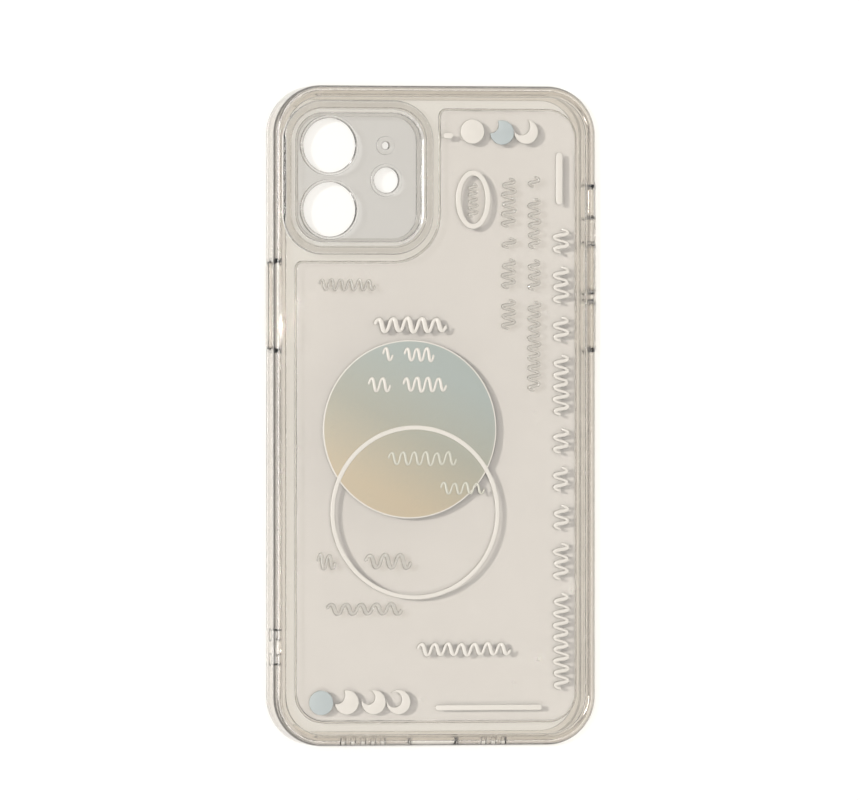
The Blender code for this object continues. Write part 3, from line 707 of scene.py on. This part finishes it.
def gradient_print(name):
    """Offset print under a gloss coat: blue grey fades to sand from the upper right to the lower left.
    Its halftone is under 0.1 mm, so the grain is drawn coarser to show."""
    made, tree = new_material(name)
    disc = box("gradient_disc")
    wide = 2 * disc.half.x * MM
    place = add(tree, "ShaderNodeTexCoord").outputs["Object"]
    turned = add(tree, "ShaderNodeMapping", vector_type="TEXTURE", sockets={
        "Vector": place,
        "Location": disc.middle * MM,
        "Rotation": (0.0, 0.0, math.radians(FADE_TURN)),
        "Scale": (wide, wide, 1.0),
    })
    parts = add(tree, "ShaderNodeSeparateXYZ", {0: turned})
    rise = add(tree, "ShaderNodeMath", {0: parts.outputs["Y"], 1: 0.5}, operation="ADD")
    grain = sizes("case_ink").grain
    dots = blotches(tree, grain, 2.0)
    stray = spread(tree, dots, -0.06, 0.06)
    soft = add(tree, "ShaderNodeMath", {0: rise, 1: stray}, operation="ADD")
    fade = ramp(
        tree,
        soft,
        [(0.12, chosen("disc_low")), (0.5, chosen("disc_middle")), (0.86, chosen("disc_top"))],
    )
    flat = add(tree, "ShaderNodeVectorMath", {0: turned, 1: (1.0, 1.0, 0.0)}, operation="MULTIPLY")
    out = add(tree, "ShaderNodeVectorMath", {0: flat}, operation="LENGTH")
    rim = add(tree, "ShaderNodeMapRange", {
        "Value": out.outputs["Value"], "From Min": DISC_RIM[0], "From Max": DISC_RIM[1],
    })
    edged = add(tree, "ShaderNodeMix", {0: rim, 6: fade, 7: chosen("white")}, data_type="RGBA")
    printed = add(tree, "ShaderNodeBsdfPrincipled", {
        "Base Color": edged.outputs[2],
        "Roughness": spread(tree, dots, 0.3, 0.42),
        "IOR": 1.5,
        "Coat Weight": 0.4,
        "Coat Roughness": 0.08,
        "Normal": bumped(tree, dots, 0.004),
    })
    add(tree, "ShaderNodeOutputMaterial", {"Surface": printed})
    return made


def paper_sweep(name):
    """Matte white paper: even, with a barely visible tooth."""
    made, tree = new_material(name)
    tooth = blotches(tree, 1.5, 4.0)
    shade = chosen("floor")
    body = ramp(tree, blotches(tree, 60.0, 2.0, 3.0), [(0.3, shaded(shade, 0.995)), (0.7, shade)])
    matte = add(tree, "ShaderNodeBsdfPrincipled", {
        "Base Color": body,
        "Roughness": spread(tree, tooth, 0.9, 1.0),
        "Specular IOR Level": 0.2,
        "Normal": bumped(tree, tooth, 0.01),
    })
    add(tree, "ShaderNodeOutputMaterial", {"Surface": matte})
    return made


SLOT_FINISH = {
    "soft_clear_tpu": "moulded_clear_tpu",
    "hard_clear_pc": "polished_clear_polycarbonate",
    "clear_film": "rolled_clear_acrylic_film",
    "white_relief_ink": "cured_white_relief_ink",
    "blue_relief_ink": "cured_blue_relief_ink",
    "pale_relief_ink": "cured_pale_relief_ink",
    "clear_relief_ink": "cured_clear_relief_varnish",
    "gradient_print": "coated_gradient_print",
}


def finish(name):
    """A finish by name, made the first time that it is asked for."""
    if name in bpy.data.materials:
        return bpy.data.materials[name]
    if name in CLEAR_PLASTICS:
        return clear_plastic(name, **CLEAR_PLASTICS[name])
    if name in INKS:
        return relief_ink(name)
    return {"coated_gradient_print": gradient_print, "matte_paper_sweep": paper_sweep}[name](name)


def node_finish(node):
    """The finish of a frame node's material slot."""
    return finish(SLOT_FINISH[SLOTS[node]])


def node_slot(node):
    """The record's material slot that a frame node carries."""
    return frame["nodes"][node].material_slots[0].name.split(".")[0]


def place_piece(made, node, body="case"):
    """Says which body a piece moves with, and hides the frame node that it stands for."""
    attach(made, body)
    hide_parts(node)


SLOTS = {name: node_slot(name) for name in frame["nodes"]}


# ---------------------------------------------------------------- the case


def case_half():
    """Half the case's width and length without the raised pad, and the height of its back."""
    ring = box("bumper_frame")
    return -ring.low.x, ring.high.y, ring.high.z


def key_places():
    """Each key cover's node, its side, and the middle and length of its pad along Y."""
    flange = sizes("case_keys").flange
    places = []
    for node, side in (("power_button_cover", -1), ("volume_up_cover", 1), ("volume_down_cover", 1)):
        key = box(node)
        places.append((node, side, (key.low.y + key.high.y) / 2, key.high.y - key.low.y - 2 * flange))
    return places


def key_height():
    """The height of the keys' middle line."""
    key = box("power_button_cover")
    return (key.low.z + key.high.z) / 2


# The middle of each row of slots along X, and its number of slots.
SLOT_ROWS = ((-16.45, 5), (14.2, 3))


class CASE_OT_bumper(bpy.types.Operator):
    """Makes the soft ring with its lip, pad and openings"""

    bl_idname = "phone_case.bumper"
    bl_label = "Soft Ring"

    def execute(self, context):
        s = sizes("case_shell")
        k = sizes("case_keys")
        half_x, half_y, back_z = case_half()
        key_z = key_height()
        inside = back_z - s.back
        low = inside + s.flange_rise - s.seam
        high = inside + s.flange_rise + s.flange_depth + s.seam
        lip_in = s.wall + s.lip_reach
        # The openings' corner radii, and how far the key windows and the slots flare.
        switch_corner, hole_corner, port_corner = 1.6, 0.6, 2.4
        window_soft, slot_soft = 0.15, 0.2
        groove = s.flange_margin - s.seam
        brim = s.plate_margin - s.seam
        profile = [
            ((0.0, back_z, s.back_round), 14),
            ((0.0, 0.0, s.lip_round), 10),
            ((lip_in, 0.0, 0.35), 6),
            ((lip_in, s.lip_height, 0.2), 4),
            ((s.wall, s.lip_height, 0.2), 3),
            ((s.wall, low, 0.1), 3),
            ((groove, low, 0), 1),
            ((groove, high, 0), 1),
            ((brim, high, 0), 1),
            ((brim, back_z, 0.18), 5),
        ]
        outline = []
        for i, (corner, steps) in enumerate(profile):
            before, after = profile[i - 1][0], profile[(i + 1) % len(profile)][0]
            outline += filleted([(*before[:2], 0), corner, (*after[:2], 0)], steps)[1:-1]
        ring = swept_ring("bumper_moulding", half_x, half_y, s.corner, outline, finish("moulded_clear_tpu"))

        # The raised pad round the switch opening and the volume keys.
        margin, corner, soft = 1.3, 2.4, 0.3
        switch_y = half_y - k.switch_drop
        down_y, down_length = key_places()[-1][2:]
        top = switch_y + k.switch_length / 2 + margin
        bottom = down_y - down_length / 2 - margin
        mesh = bmesh.new()

        def pad_outline(grow):
            reach = (top - bottom) / 2 + grow
            middle = (top + bottom) / 2
            return rounded_box(reach, k.pad_height / 2 + grow, corner + grow, middle, key_z, 12)

        edge = [(half_x + z, -inset) for inset, z in round_over(k.pad, soft)]
        side_cutter(mesh, pad_outline, [(half_x - s.wall / 2, 0.0), *edge], "X")
        boolean(ring, link("pad", mesh), "UNION")

        # Key windows with the pockets behind them, the switch opening and the lanyard holes.
        mesh = bmesh.new()
        for _, side, y, across in key_places():
            face = side * half_x + (k.pad if side > 0 else 0)
            skin = side * half_x - side * k.skin
            steps = mouth(side, face, window_soft)
            steps += [(skin, 0.0), (skin, k.flange), (side * (half_x - s.wall - PAST), k.flange)]

            def window(grow, y=y, across=across):
                both = 2 * (k.gap + grow)
                return stadium(across + both, k.height + both, y, key_z)

            side_cutter(mesh, window, steps, "X")
        wall_in = half_x - s.wall
        steps = mouth(1, half_x + k.pad, s.mouth_round) + [(wall_in - PAST, 0.0)]

        def switch(grow):
            half_long, half_high = k.switch_length / 2 + grow, k.switch_height / 2 + grow
            return rounded_box(half_long, half_high, switch_corner + grow, switch_y, key_z, 12)

        side_cutter(mesh, switch, steps, "X")
        lanyard_y = -half_y + k.lanyard_rise
        half_hole = k.lanyard_hole / 2
        for side in (-1, 1):
            y = lanyard_y + side * k.lanyard_pitch / 2

            def hole(grow, y=y):
                half = half_hole + grow
                return rounded_box(half, half, hole_corner + grow, y, key_z, 8)

            side_cutter(mesh, hole, mouth(-1, -half_x, s.mouth_round) + [(-wall_in + PAST, 0.0)], "X")

        def port(grow):
            half_wide, half_high = k.port_width / 2 + grow, k.port_height / 2 + grow
            return rounded_box(half_wide, half_high, port_corner + grow, 0.0, key_z, 14)

        wall_low = -half_y + s.wall
        side_cutter(mesh, port, mouth(-1, -half_y, s.mouth_round) + [(wall_low + PAST, 0.0)], "Y")
        boolean(ring, link("openings", mesh), "DIFFERENCE")

        # The channel that joins the two lanyard holes behind the wall, and the two rows of slots.
        mesh = bmesh.new()
        reach = (k.lanyard_pitch + k.lanyard_hole) / 2
        channel = rounded_box(reach, half_hole, hole_corner, lanyard_y, key_z, 8)
        side_cutter(mesh, lambda grow: channel, [(-wall_in - PAST, 0.0), (-wall_in + PAST, 0.0)], "X")
        boolean(ring, link("channel", mesh), "DIFFERENCE")
        tree = spaced_row_tree()
        for middle, count in SLOT_ROWS:
            mesh = bmesh.new()

            def slot(grow):
                half_wide, half_high = k.slot_width / 2 + grow, k.slot_height / 2 + grow
                return rounded_box(half_wide, half_high, half_wide - 0.05, middle, key_z, 8)

            side_cutter(mesh, slot, mouth(-1, -half_y, slot_soft) + [(wall_low + PAST, 0.0)], "Y")
            row = link("slots", mesh)
            plastic = ring.data.materials[0]
            run_tree(row, tree, {"Count": count, "Pitch": k.slot_pitch * MM, "Material": plastic})
            boolean(ring, row, "DIFFERENCE")
        settle(ring)
        place_piece(ring, "bumper_frame")
        return {"FINISHED"}


def film_outline(grow, steps=20):
    """The film's L-shaped outline, moved outwards by grow."""
    s = sizes("case_ink")
    film, guard = box("art_panel"), box("camera_guard")
    left, right, bottom, top = film.low.x - grow, film.high.x + grow, film.low.y - grow, film.high.y + grow
    notch_x = guard.high.x + s.guard_gap - grow
    notch_y = guard.low.y - s.guard_gap + grow
    large, small = s.corner + grow, s.small_corner + grow
    hollow = sizes("case_guard").corner + s.guard_gap - grow
    corners = [
        (left, bottom, large),
        (right, bottom, large),
        (right, top, large),
        (notch_x, top, small),
        (notch_x, notch_y, hollow),
        (left, notch_y, small),
    ]
    return filleted(corners, steps)


class CASE_OT_back(bpy.types.Operator):
    """Makes the hard back plate with its flange, camera aperture and film recess"""

    bl_idname = "phone_case.back"
    bl_label = "Hard Back"

    def execute(self, context):
        s = sizes("case_shell")
        g = sizes("case_guard")
        half_x, half_y, back_z = case_half()
        inside = back_z - s.back
        low = inside + s.flange_rise
        high = low + s.flange_depth
        edge = 0.18
        layers = [(s.wall + s.seam, inside), (s.wall + s.seam, low), (s.flange_margin, low)]
        layers += [(s.flange_margin, high), (s.plate_margin, high)]
        layers += [(s.plate_margin + i, z) for i, z in round_over(back_z, edge)]
        stack = [(rounded_box(half_x - i, half_y - i, s.corner - i), z) for i, z in layers]
        plate = skinned("back_plate_moulding", [stack], finish("polished_clear_polycarbonate"))
        guard = box("camera_guard")
        half = guard.half.x - g.spigot + s.seam
        aperture = rounded_box(half, half, g.corner - g.spigot + s.seam, guard.middle.x, guard.middle.y)
        layers = [(aperture, inside - PAST), (aperture, back_z + PAST)]
        boolean(plate, skinned("aperture", [layers]), "DIFFERENCE")
        film = sizes("case_ink")
        recess = [(film_outline(s.seam), back_z - film.recess)]
        for i, z in round_over(0.0, film.edge)[::-1]:
            recess.append((film_outline(s.seam + film.edge - i), back_z + z))
        recess.sort(key=lambda layer: layer[1])
        recess.append((film_outline(s.seam + film.edge), back_z + PAST))
        boolean(plate, skinned("recess", [recess]), "DIFFERENCE")
        settle(plate)
        place_piece(plate, "back_plate")
        return {"FINISHED"}


class CASE_OT_guard(bpy.types.Operator):
    """Makes the camera guard's double ridge and the spigot that holds it in the back"""

    bl_idname = "phone_case.guard"
    bl_label = "Camera Guard"

    def execute(self, context):
        s = sizes("case_shell")
        g = sizes("case_guard")
        back_z = case_half()[2]
        place = box("camera_guard")
        foot = back_z + s.seam
        top = place.high.z
        inside = back_z - s.back
        ledge = back_z + g.window_raise - g.window - s.seam
        profile = [
            (0.0, foot, 0),
            (0.0, top, 0.7),
            (g.ridge, top, 0.35),
            (g.ridge + g.step * 0.6, top - g.step, 0.2),
            (g.band, top - g.step, 0.45),
            (g.band, ledge, 0),
            (g.band + g.ledge, ledge, 0.1),
            (g.band + g.ledge, inside, 0.1),
            (g.spigot, inside, 0.1),
            (g.spigot, foot, 0),
        ]
        outline = filleted(profile, 7)
        half, (x, y, _) = place.half.x, place.middle
        surface = finish("thick_clear_tpu")
        guard = swept_ring("camera_guard_moulding", half, half, g.corner, outline, surface, x, y)
        settle(guard)
        place_piece(guard, "camera_guard")
        return {"FINISHED"}


# The flash and microphone holes, from the window's middle along X and Y.
FLASH_AT = (6.5, -0.6)
MIC_AT = (6.3, 7.3)


class CASE_OT_window(bpy.types.Operator):
    """Makes the clear window inside the guard, with its lens, flash and microphone openings"""

    bl_idname = "phone_case.window"
    bl_label = "Camera Window"

    def execute(self, context):
        g = sizes("case_guard")
        s = sizes("case_shell")
        plate = box("camera_plate")
        middle, half, bottom = plate.middle, plate.half.x, plate.low.z
        top = bottom + g.window
        edge = 0.12
        corner = g.corner - g.band - s.seam
        stack = [(rounded_box(half, half, corner, middle.x, middle.y), bottom)]
        for i, z in round_over(top, edge):
            stack.append((rounded_box(half - i, half - i, corner - i, middle.x, middle.y), z))
        window = skinned("camera_window_moulding", [stack], finish("cast_clear_acrylic"))
        lens_x = middle.x - (half - g.lens_side_gap - g.lens_rim - g.lens_hole)
        spread_y = half - g.lens_end_gap - g.lens_rim - g.lens_hole
        openings = [
            (lens_x, middle.y - spread_y, g.lens_hole, g.lens_rim, g.lens_rim_height),
            (lens_x, middle.y + spread_y, g.lens_hole, g.lens_rim, g.lens_rim_height),
            (middle.x + FLASH_AT[0], middle.y + FLASH_AT[1], g.flash_hole, g.flash_rim, g.flash_rim_height),
            (middle.x + MIC_AT[0], middle.y + MIC_AT[1], g.mic_hole, g.mic_rim, g.flash_rim_height),
        ]
        outer_soft, inner_soft = 0.3, 0.18
        rims, holes = [], []
        for x, y, radius, width, height in openings:
            outer = radius + width
            face = top + height
            layers = [(circle(x, y, outer), top - outer_soft)]
            rims.append(layers + [(circle(x, y, outer - i), z) for i, z in round_over(face, outer_soft)])
            flared = radius + inner_soft
            layers = [(circle(x, y, radius), bottom - PAST)]
            layers += [(circle(x, y, flared - i), z) for i, z in round_over(face, inner_soft)[::-1]]
            layers.sort(key=lambda layer: layer[1])
            holes.append(layers + [(circle(x, y, flared), face + PAST)])
        boolean(window, skinned("rims", rims), "UNION")
        boolean(window, skinned("lens openings", holes), "DIFFERENCE")
        settle(window)
        place_piece(window, "camera_plate")
        return {"FINISHED"}


class CASE_OT_film(bpy.types.Operator):
    """Makes the clear film panel that carries the artwork, with the disc's pocket"""

    bl_idname = "phone_case.film"
    bl_label = "Film Panel"

    def execute(self, context):
        s = sizes("case_ink")
        panel, disc = box("art_panel"), box("gradient_disc")
        seam = sizes("case_shell").seam
        layers = [(film_outline(0.0), panel.low.z)]
        layers += [(film_outline(-i), z) for i, z in round_over(panel.high.z, s.edge)]
        film = skinned("art_panel_film", [layers], finish("rolled_clear_acrylic_film"))
        pocket = circle(disc.middle.x, disc.middle.y, disc.half.x + seam, DISC_STEPS)
        cut = skinned("pocket", [[(pocket, disc.low.z - seam), (pocket, panel.high.z + PAST)]])
        boolean(film, cut, "DIFFERENCE")
        settle(film)
        place_piece(film, "art_panel")
        return {"FINISHED"}


class CASE_OT_keys(bpy.types.Operator):
    """Makes the three sprung key covers, each with the flange that holds it in the wall"""

    bl_idname = "phone_case.keys"
    bl_label = "Key Covers"

    def execute(self, context):
        k = sizes("case_keys")
        s = sizes("case_shell")
        half_x = case_half()[0]
        key_z = key_height()
        listed = frame["record"]["behaviour"]["bodies"].items()
        bodies = {node: body for body, nodes in listed for node in nodes}
        for node, side, y, across in key_places():
            front = half_x + k.proud
            inner = half_x - k.skin - s.seam
            layers = [(-i, depth) for i, depth in round_over(front, k.round, 8)[::-1]]
            layers += [(0.0, inner), (k.flange, inner), (k.flange, inner - k.flange_depth)]
            loops = []
            for grow, depth in layers:
                outline = stadium(across + 2 * grow, k.height + 2 * grow, y, key_z)
                loops.append([(side * depth, along, z) for along, z in outline])
            mesh = bmesh.new()
            add_loops(mesh, loops)
            key = link(node + "_moulding", mesh, finish("moulded_clear_tpu"))
            settle(key)
            place_piece(key, node, bodies[node])
        return {"FINISHED"}


# ---------------------------------------------------------------- the artwork


# How far a mark of ink reaches down into the film, so that no gap shows.
INK_SINK = 0.02


def ink_base():
    """The height of the film's face, which all the relief ink stands on."""
    return box("art_panel").high.z


def relief(node, outline_at):
    """A flat mark of relief ink whose outline is drawn in along its rounded top edge."""
    s = sizes("case_ink")
    base = ink_base()
    layers = [(outline_at(0.0), base - INK_SINK)]
    layers += [(outline_at(i), z) for i, z in round_over(base + s.ink_height, s.ink_edge)]
    mark = skinned(node + "_ink", [layers], node_finish(node))
    place_piece(mark, node)


def relief_ring(node, line):
    """A ring of relief ink, round or oval, from its frame node's box."""
    s = sizes("case_ink")
    place = box(node)
    base = ink_base()
    edge = round_over(base + s.ink_height, s.ink_edge)
    inner = [(line - i, z) for i, z in edge[::-1]]
    section = [(0.0, base - INK_SINK), *edge, *inner, (line, base - INK_SINK)]
    (x, y, _), (half_x, half_y, _) = place.middle, place.half
    layers = [(ellipse(x, y, half_x - i, half_y - i, 160), z) for i, z in section]
    ring = skinned(node + "_ink", [layers], node_finish(node), True)
    place_piece(ring, node)


# Each moon's bite: how far its middle lies from the moon's, and its radius, all in moon radii.
MOONS = {
    "top_moon_full": None,
    "top_moon_gibbous": (-0.96, 0.62, 0.68),
    "top_moon_crescent": (-0.4, 0.45, 0.735),
    "bottom_moon_full": None,
    "bottom_moon_gibbous": (-0.86, 0.59, 0.735),
    "bottom_moon_crescent_wide": (-0.44, 0.385, 0.57),
    "bottom_moon_crescent_slim": (-0.34, 0.2, 0.63),
}


class CASE_OT_disc(bpy.types.Operator):
    """Makes the printed gradient disc in its pocket"""

    bl_idname = "phone_case.disc"
    bl_label = "Gradient Disc"

    def execute(self, context):
        place = box("gradient_disc")
        steps = [(0.0, place.low.z), *round_over(place.high.z, 0.05)]
        x, y, _ = place.middle
        layers = [(circle(x, y, place.half.x - i, DISC_STEPS), z) for i, z in steps]
        disc = skinned("gradient_disc_print", [layers], finish("coated_gradient_print"))
        place_piece(disc, "gradient_disc")
        return {"FINISHED"}


class CASE_OT_shapes(bpy.types.Operator):
    """Makes the relief rings, moons and bars"""

    bl_idname = "phone_case.shapes"
    bl_label = "Rings, Moons and Bars"

    def execute(self, context):
        s = sizes("case_ink")
        relief_ring("thin_ring", s.ring_stroke)
        relief_ring("oval_ring", s.oval_stroke)
        for node, bite in MOONS.items():
            place = box(node)
            radius = box(node.split("_")[0] + "_moon_full").half.x
            x, y = place.high.x - radius, place.low.y + radius
            relief(node, lambda inset: moon(x, y, radius, bite, inset))
        for node in ("top_dash", "side_bar", "bottom_bar"):
            place = box(node)
            middle, (across, height, _) = place.middle, 2 * place.half

            def bar(inset):
                if across > height:
                    return stadium(across - 2 * inset, height - 2 * inset, middle.x, middle.y)
                outline = stadium(height - 2 * inset, across - 2 * inset)
                return [(middle.x + y, middle.y - x) for x, y in outline]

            relief(node, bar)
        return {"FINISHED"}


# Each line of relief waves: its node, the periods in each of its waves, and its share of the stroke width.
# Every mark is one plain wave that starts and ends at mid-height, so none of them is a letter.
LINES = [
    ("stroke_below_camera", (6,), 1.1),
    ("stroke_above_disc", (5,), 2.0),
    ("stroke_disc_upper", (1, 3), 1.3),
    ("stroke_disc_lower", (2, 4), 1.3),
    ("stroke_ring_upper", (6,), 1.1),
    ("stroke_ring_lower", (4,), 1.1),
    ("stroke_left_outer", (2,), 1.5),
    ("stroke_left_inner", (3,), 1.7),
    ("stroke_left_lower", (5,), 1.7),
    ("stroke_bottom", (7,), 1.7),
    ("stroke_in_oval", (5,), 1.0),
    ("stroke_column_inner", (5, 1, 3, 3), 1.25),
    ("stroke_column_middle", (1, 5, 3, 9), 1.25),
    ("stroke_column_outer", (2, 3, 2, 5, 2, 2, 2, 3, 8), 1.6),
]
# The gap between two waves in periods, the lean of a wave, the least and most swing, how far its crests are
# rounded, and the points in a period.
WAVE_GAP = 1.2
SLANT = 0.05
SWING = (0.8, 1.0)
ROUNDNESS = 0.05
WAVE_STEPS = 24
# The share of its width that a stroke keeps where it rises.
FINE_SHARE = 0.7


def wave_line(across, height, waves, rng):
    """Each wave's points along X, rounded at its crests and leaning a little, with nearly even swings."""
    unit = across / (sum(waves) + WAVE_GAP * (len(waves) - 1))
    start = 0.0
    lines = []
    for periods in waves:
        swings = [rng.uniform(*SWING) for _ in range(2 * periods)]
        steps = WAVE_STEPS * periods
        points = []
        for i in range(steps + 1):
            turn = 2 * periods * i / steps
            rise = swings[min(int(turn), 2 * periods - 1)] * math.sin(math.pi * turn) / 2
            along = turn - ROUNDNESS * math.sin(2 * math.pi * turn)
            points.append((start + along * unit / 2 + SLANT * rise * height - across / 2, rise * height))
        lines.append(points)
        start += (periods + WAVE_GAP) * unit
    return lines


class CASE_OT_waves(bpy.types.Operator):
    """Makes the lines of relief waves as beads of ink"""

    bl_idname = "phone_case.waves"
    bl_label = "Relief Waves"

    def execute(self, context):
        s = sizes("case_ink")
        tree = relief_stroke_tree()
        base = ink_base()
        rng = random.Random(11)
        for node, waves, weight in LINES:
            place = box(node)
            upright = place.half.y > place.half.x
            across = 2 * max(place.half.xy) - s.stroke
            height = 2 * min(place.half.xy) - s.stroke * weight
            mesh = bmesh.new()
            for points in wave_line(across, height, waves, rng):
                before = None
                for x, y in points:
                    if upright:
                        x, y = y, -x
                    here = mesh.verts.new(((place.middle.x + x) * MM, (place.middle.y + y) * MM, base * MM))
                    if before:
                        mesh.edges.new((before, here))
                    before = here
            line = link(node + "_ink", mesh)
            run_tree(
                line,
                tree,
                {
                    "Width": s.stroke * weight * MM,
                    "Fine Share": FINE_SHARE,
                    "Height": s.ink_height * MM,
                    "Step": 0.22 * MM,
                    "Down": (-1.0, 0.0, 0.0) if upright else (0.0, -1.0, 0.0),
                    "Material": node_finish(node),
                },
            )
            mesh = bmesh.new()
            mesh.from_mesh(line.data)
            bmesh.ops.recalc_face_normals(mesh, faces=mesh.faces)
            mesh.to_mesh(line.data)
            mesh.free()
            place_piece(line, node)
        return {"FINISHED"}


# ---------------------------------------------------------------- the stage


# The room's light by height, from level at 0 to straight up at 1.
RING_LIGHT = (5.0, 4.95, 4.87)
ROOM = [
    (0.0, (0.2, 0.197, 0.192)),
    (0.2, (0.5, 0.49, 0.48)),
    (0.5, (0.65, 0.64, 0.63)),
    (0.52, RING_LIGHT),
    (0.62, RING_LIGHT),
    (0.64, (0.7, 0.69, 0.68)),
    (0.9, (1.0, 0.99, 0.98)),
]
# Each soft box: the direction it stands in, its half width in degrees and its strength.
SOFT_BOXES = [((-0.8, 0.15, 0.55), 16.0, 8.0)]
# How far a soft box fades at its edge, as a change of cosine.
SOFT_EDGE = 0.03
LAMP_COLOUR = (1.0, 0.985, 0.96)
# Each distant lamp: the direction it stands in, its strength and its width in degrees.
LAMPS = {
    "key lamp": ((-0.40, 0.06, 1.0), 1.4, 1.0),
    "fill lamp": ((-0.24, 0.0, 0.97), 1.7, 12.0),
    "room lamp": ((0.0, 0.0, 1.0), 0.9, 150.0),
}


def studio_world():
    """A pale room that gloss and clear plastic show: a bright ring all round, greyer above and below it,
    and one soft box. Matte surfaces take their light from the lamps alone."""
    world = bpy.data.worlds.new("studio")
    bpy.context.scene.world = world
    world.use_nodes = True
    world.cycles.sampling_method = "NONE"
    tree = world.node_tree
    tree.nodes.clear()
    place = add(tree, "ShaderNodeTexCoord").outputs["Generated"]
    parts = add(tree, "ShaderNodeSeparateXYZ", {0: place})
    room = ramp(tree, parts.outputs["Z"], [(height, (*shade, 1.0)) for height, shade in ROOM])
    light = room
    for toward, wide, strength in SOFT_BOXES:
        facing = add(tree, "ShaderNodeVectorMath", operation="DOT_PRODUCT", sockets={
            0: place, 1: Vector(toward).normalized(),
        })
        edge = math.cos(math.radians(wide))
        patch = add(tree, "ShaderNodeMapRange", {
            "Value": facing.outputs["Value"],
            "From Min": edge,
            "From Max": edge + SOFT_EDGE,
            "To Max": strength,
        })
        light = add(tree, "ShaderNodeVectorMath", {0: light, 1: patch}, operation="ADD")
    shown = add(tree, "ShaderNodeBackground", {"Color": light, "Strength": 1.0})
    seen = add(tree, "ShaderNodeBackground", {"Color": (1.0, 1.0, 1.0, 1.0), "Strength": 1.0})
    none = add(tree, "ShaderNodeBackground", {"Color": (0.0, 0.0, 0.0, 1.0), "Strength": 0.0})
    ray = add(tree, "ShaderNodeLightPath")
    lit = add(tree, "ShaderNodeMixShader", {0: ray.outputs["Is Diffuse Ray"], 1: shown, 2: none})
    whole = add(tree, "ShaderNodeMixShader", {0: ray.outputs["Is Camera Ray"], 1: lit, 2: seen})
    add(tree, "ShaderNodeOutputWorld", {"Surface": whole})


def sun(name, toward, strength, angle):
    """A distant lamp that shines from a direction. Clear plastic lets it pass in a straight line."""
    data = bpy.data.lights.new(name, "SUN")
    data.energy = strength
    data.angle = math.radians(angle)
    data.color = LAMP_COLOUR
    data.cycles.use_multiple_importance_sampling = False
    lamp = bpy.data.objects.new(name, data)
    lamp.rotation_mode = "QUATERNION"
    lamp.rotation_quaternion = Vector(toward).to_track_quat("Z", "Y")
    bpy.context.scene.collection.objects.link(lamp)


class CASE_OT_stage(bpy.types.Operator):
    """Makes the pale floor, the soft studio light and the camera"""

    bl_idname = "phone_case.stage"
    bl_label = "Stage"

    def execute(self, context):
        scene = context.scene
        mesh = bmesh.new()
        reach, drop = 3000.0, 0.02
        corners = [(-reach, -reach), (reach, -reach), (reach, reach), (-reach, reach)]
        mesh.faces.new([mesh.verts.new((x * MM, y * MM, -drop * MM)) for x, y in corners])
        floor = link("floor", mesh, finish("matte_paper_sweep"))
        studio_world()
        for name, (toward, strength, angle) in LAMPS.items():
            sun(name, toward, strength, angle)

        # The lens is long and looks down from a little to the left of straight above.
        distance, across, lean, sensor = 3000.0, 197.0, 13.6, 36.0
        aim_right, aim_up = 0.96, 3.57
        data = bpy.data.cameras.new("camera")
        data.sensor_width = sensor
        data.lens = sensor * distance / across
        data.clip_start = 0.05
        data.clip_end = 50.0
        turn = math.radians(lean)
        side = Vector((math.cos(turn), 0.0, math.sin(turn)))
        back = Vector((-math.sin(turn), 0.0, math.cos(turn)))
        up = Vector((0.0, 1.0, 0.0))
        aim = side * aim_right + up * aim_up
        camera = bpy.data.objects.new("camera", data)
        turned = Matrix((side, up, back)).transposed().to_4x4()
        camera.matrix_world = Matrix.Translation((aim + back * distance) * MM) @ turned
        scene.collection.objects.link(camera)
        scene.camera = camera

        scene.view_settings.view_transform = "Standard"
        scene.cycles.max_bounces = 32
        scene.cycles.transmission_bounces = 32
        scene.cycles.glossy_bounces = 12
        scene.cycles.transparent_max_bounces = 32
        scene.cycles.caustics_refractive = False
        scene.cycles.caustics_reflective = False
        scene.cycles.blur_glossy = 0.0
        return {"FINISHED"}


OPERATORS = (
    CASE_OT_bumper,
    CASE_OT_back,
    CASE_OT_guard,
    CASE_OT_window,
    CASE_OT_film,
    CASE_OT_keys,
    CASE_OT_disc,
    CASE_OT_shapes,
    CASE_OT_waves,
    CASE_OT_stage,
)


class CASE_PT_builder(bpy.types.Panel):
    """Lists the case's pieces and their sizes"""

    bl_idname = "CASE_PT_builder"
    bl_label = "Phone Case"
    bl_space_type = "VIEW_3D"
    bl_region_type = "UI"
    bl_category = "Phone Case"

    def draw(self, context):
        for operator in OPERATORS:
            self.layout.operator(operator.bl_idname)
        for group, kind in GROUPS.items():
            column = self.layout.column(align=True)
            for name in kind.__annotations__:
                column.prop(getattr(context.scene, group), name)


CLASSES = (*GROUPS.values(), *OPERATORS, CASE_PT_builder)


def register():
    for kind in CLASSES:
        bpy.utils.register_class(kind)
    for name, kind in GROUPS.items():
        setattr(bpy.types.Scene, name, PointerProperty(type=kind))


def unregister():
    for name in GROUPS:
        delattr(bpy.types.Scene, name)
    for kind in reversed(CLASSES):
        bpy.utils.unregister_class(kind)


def main():
    register()
    for operator in OPERATORS:
        group, name = operator.bl_idname.split(".")
        getattr(getattr(bpy.ops, group), name)()


if __name__ == "__main__":
    main()
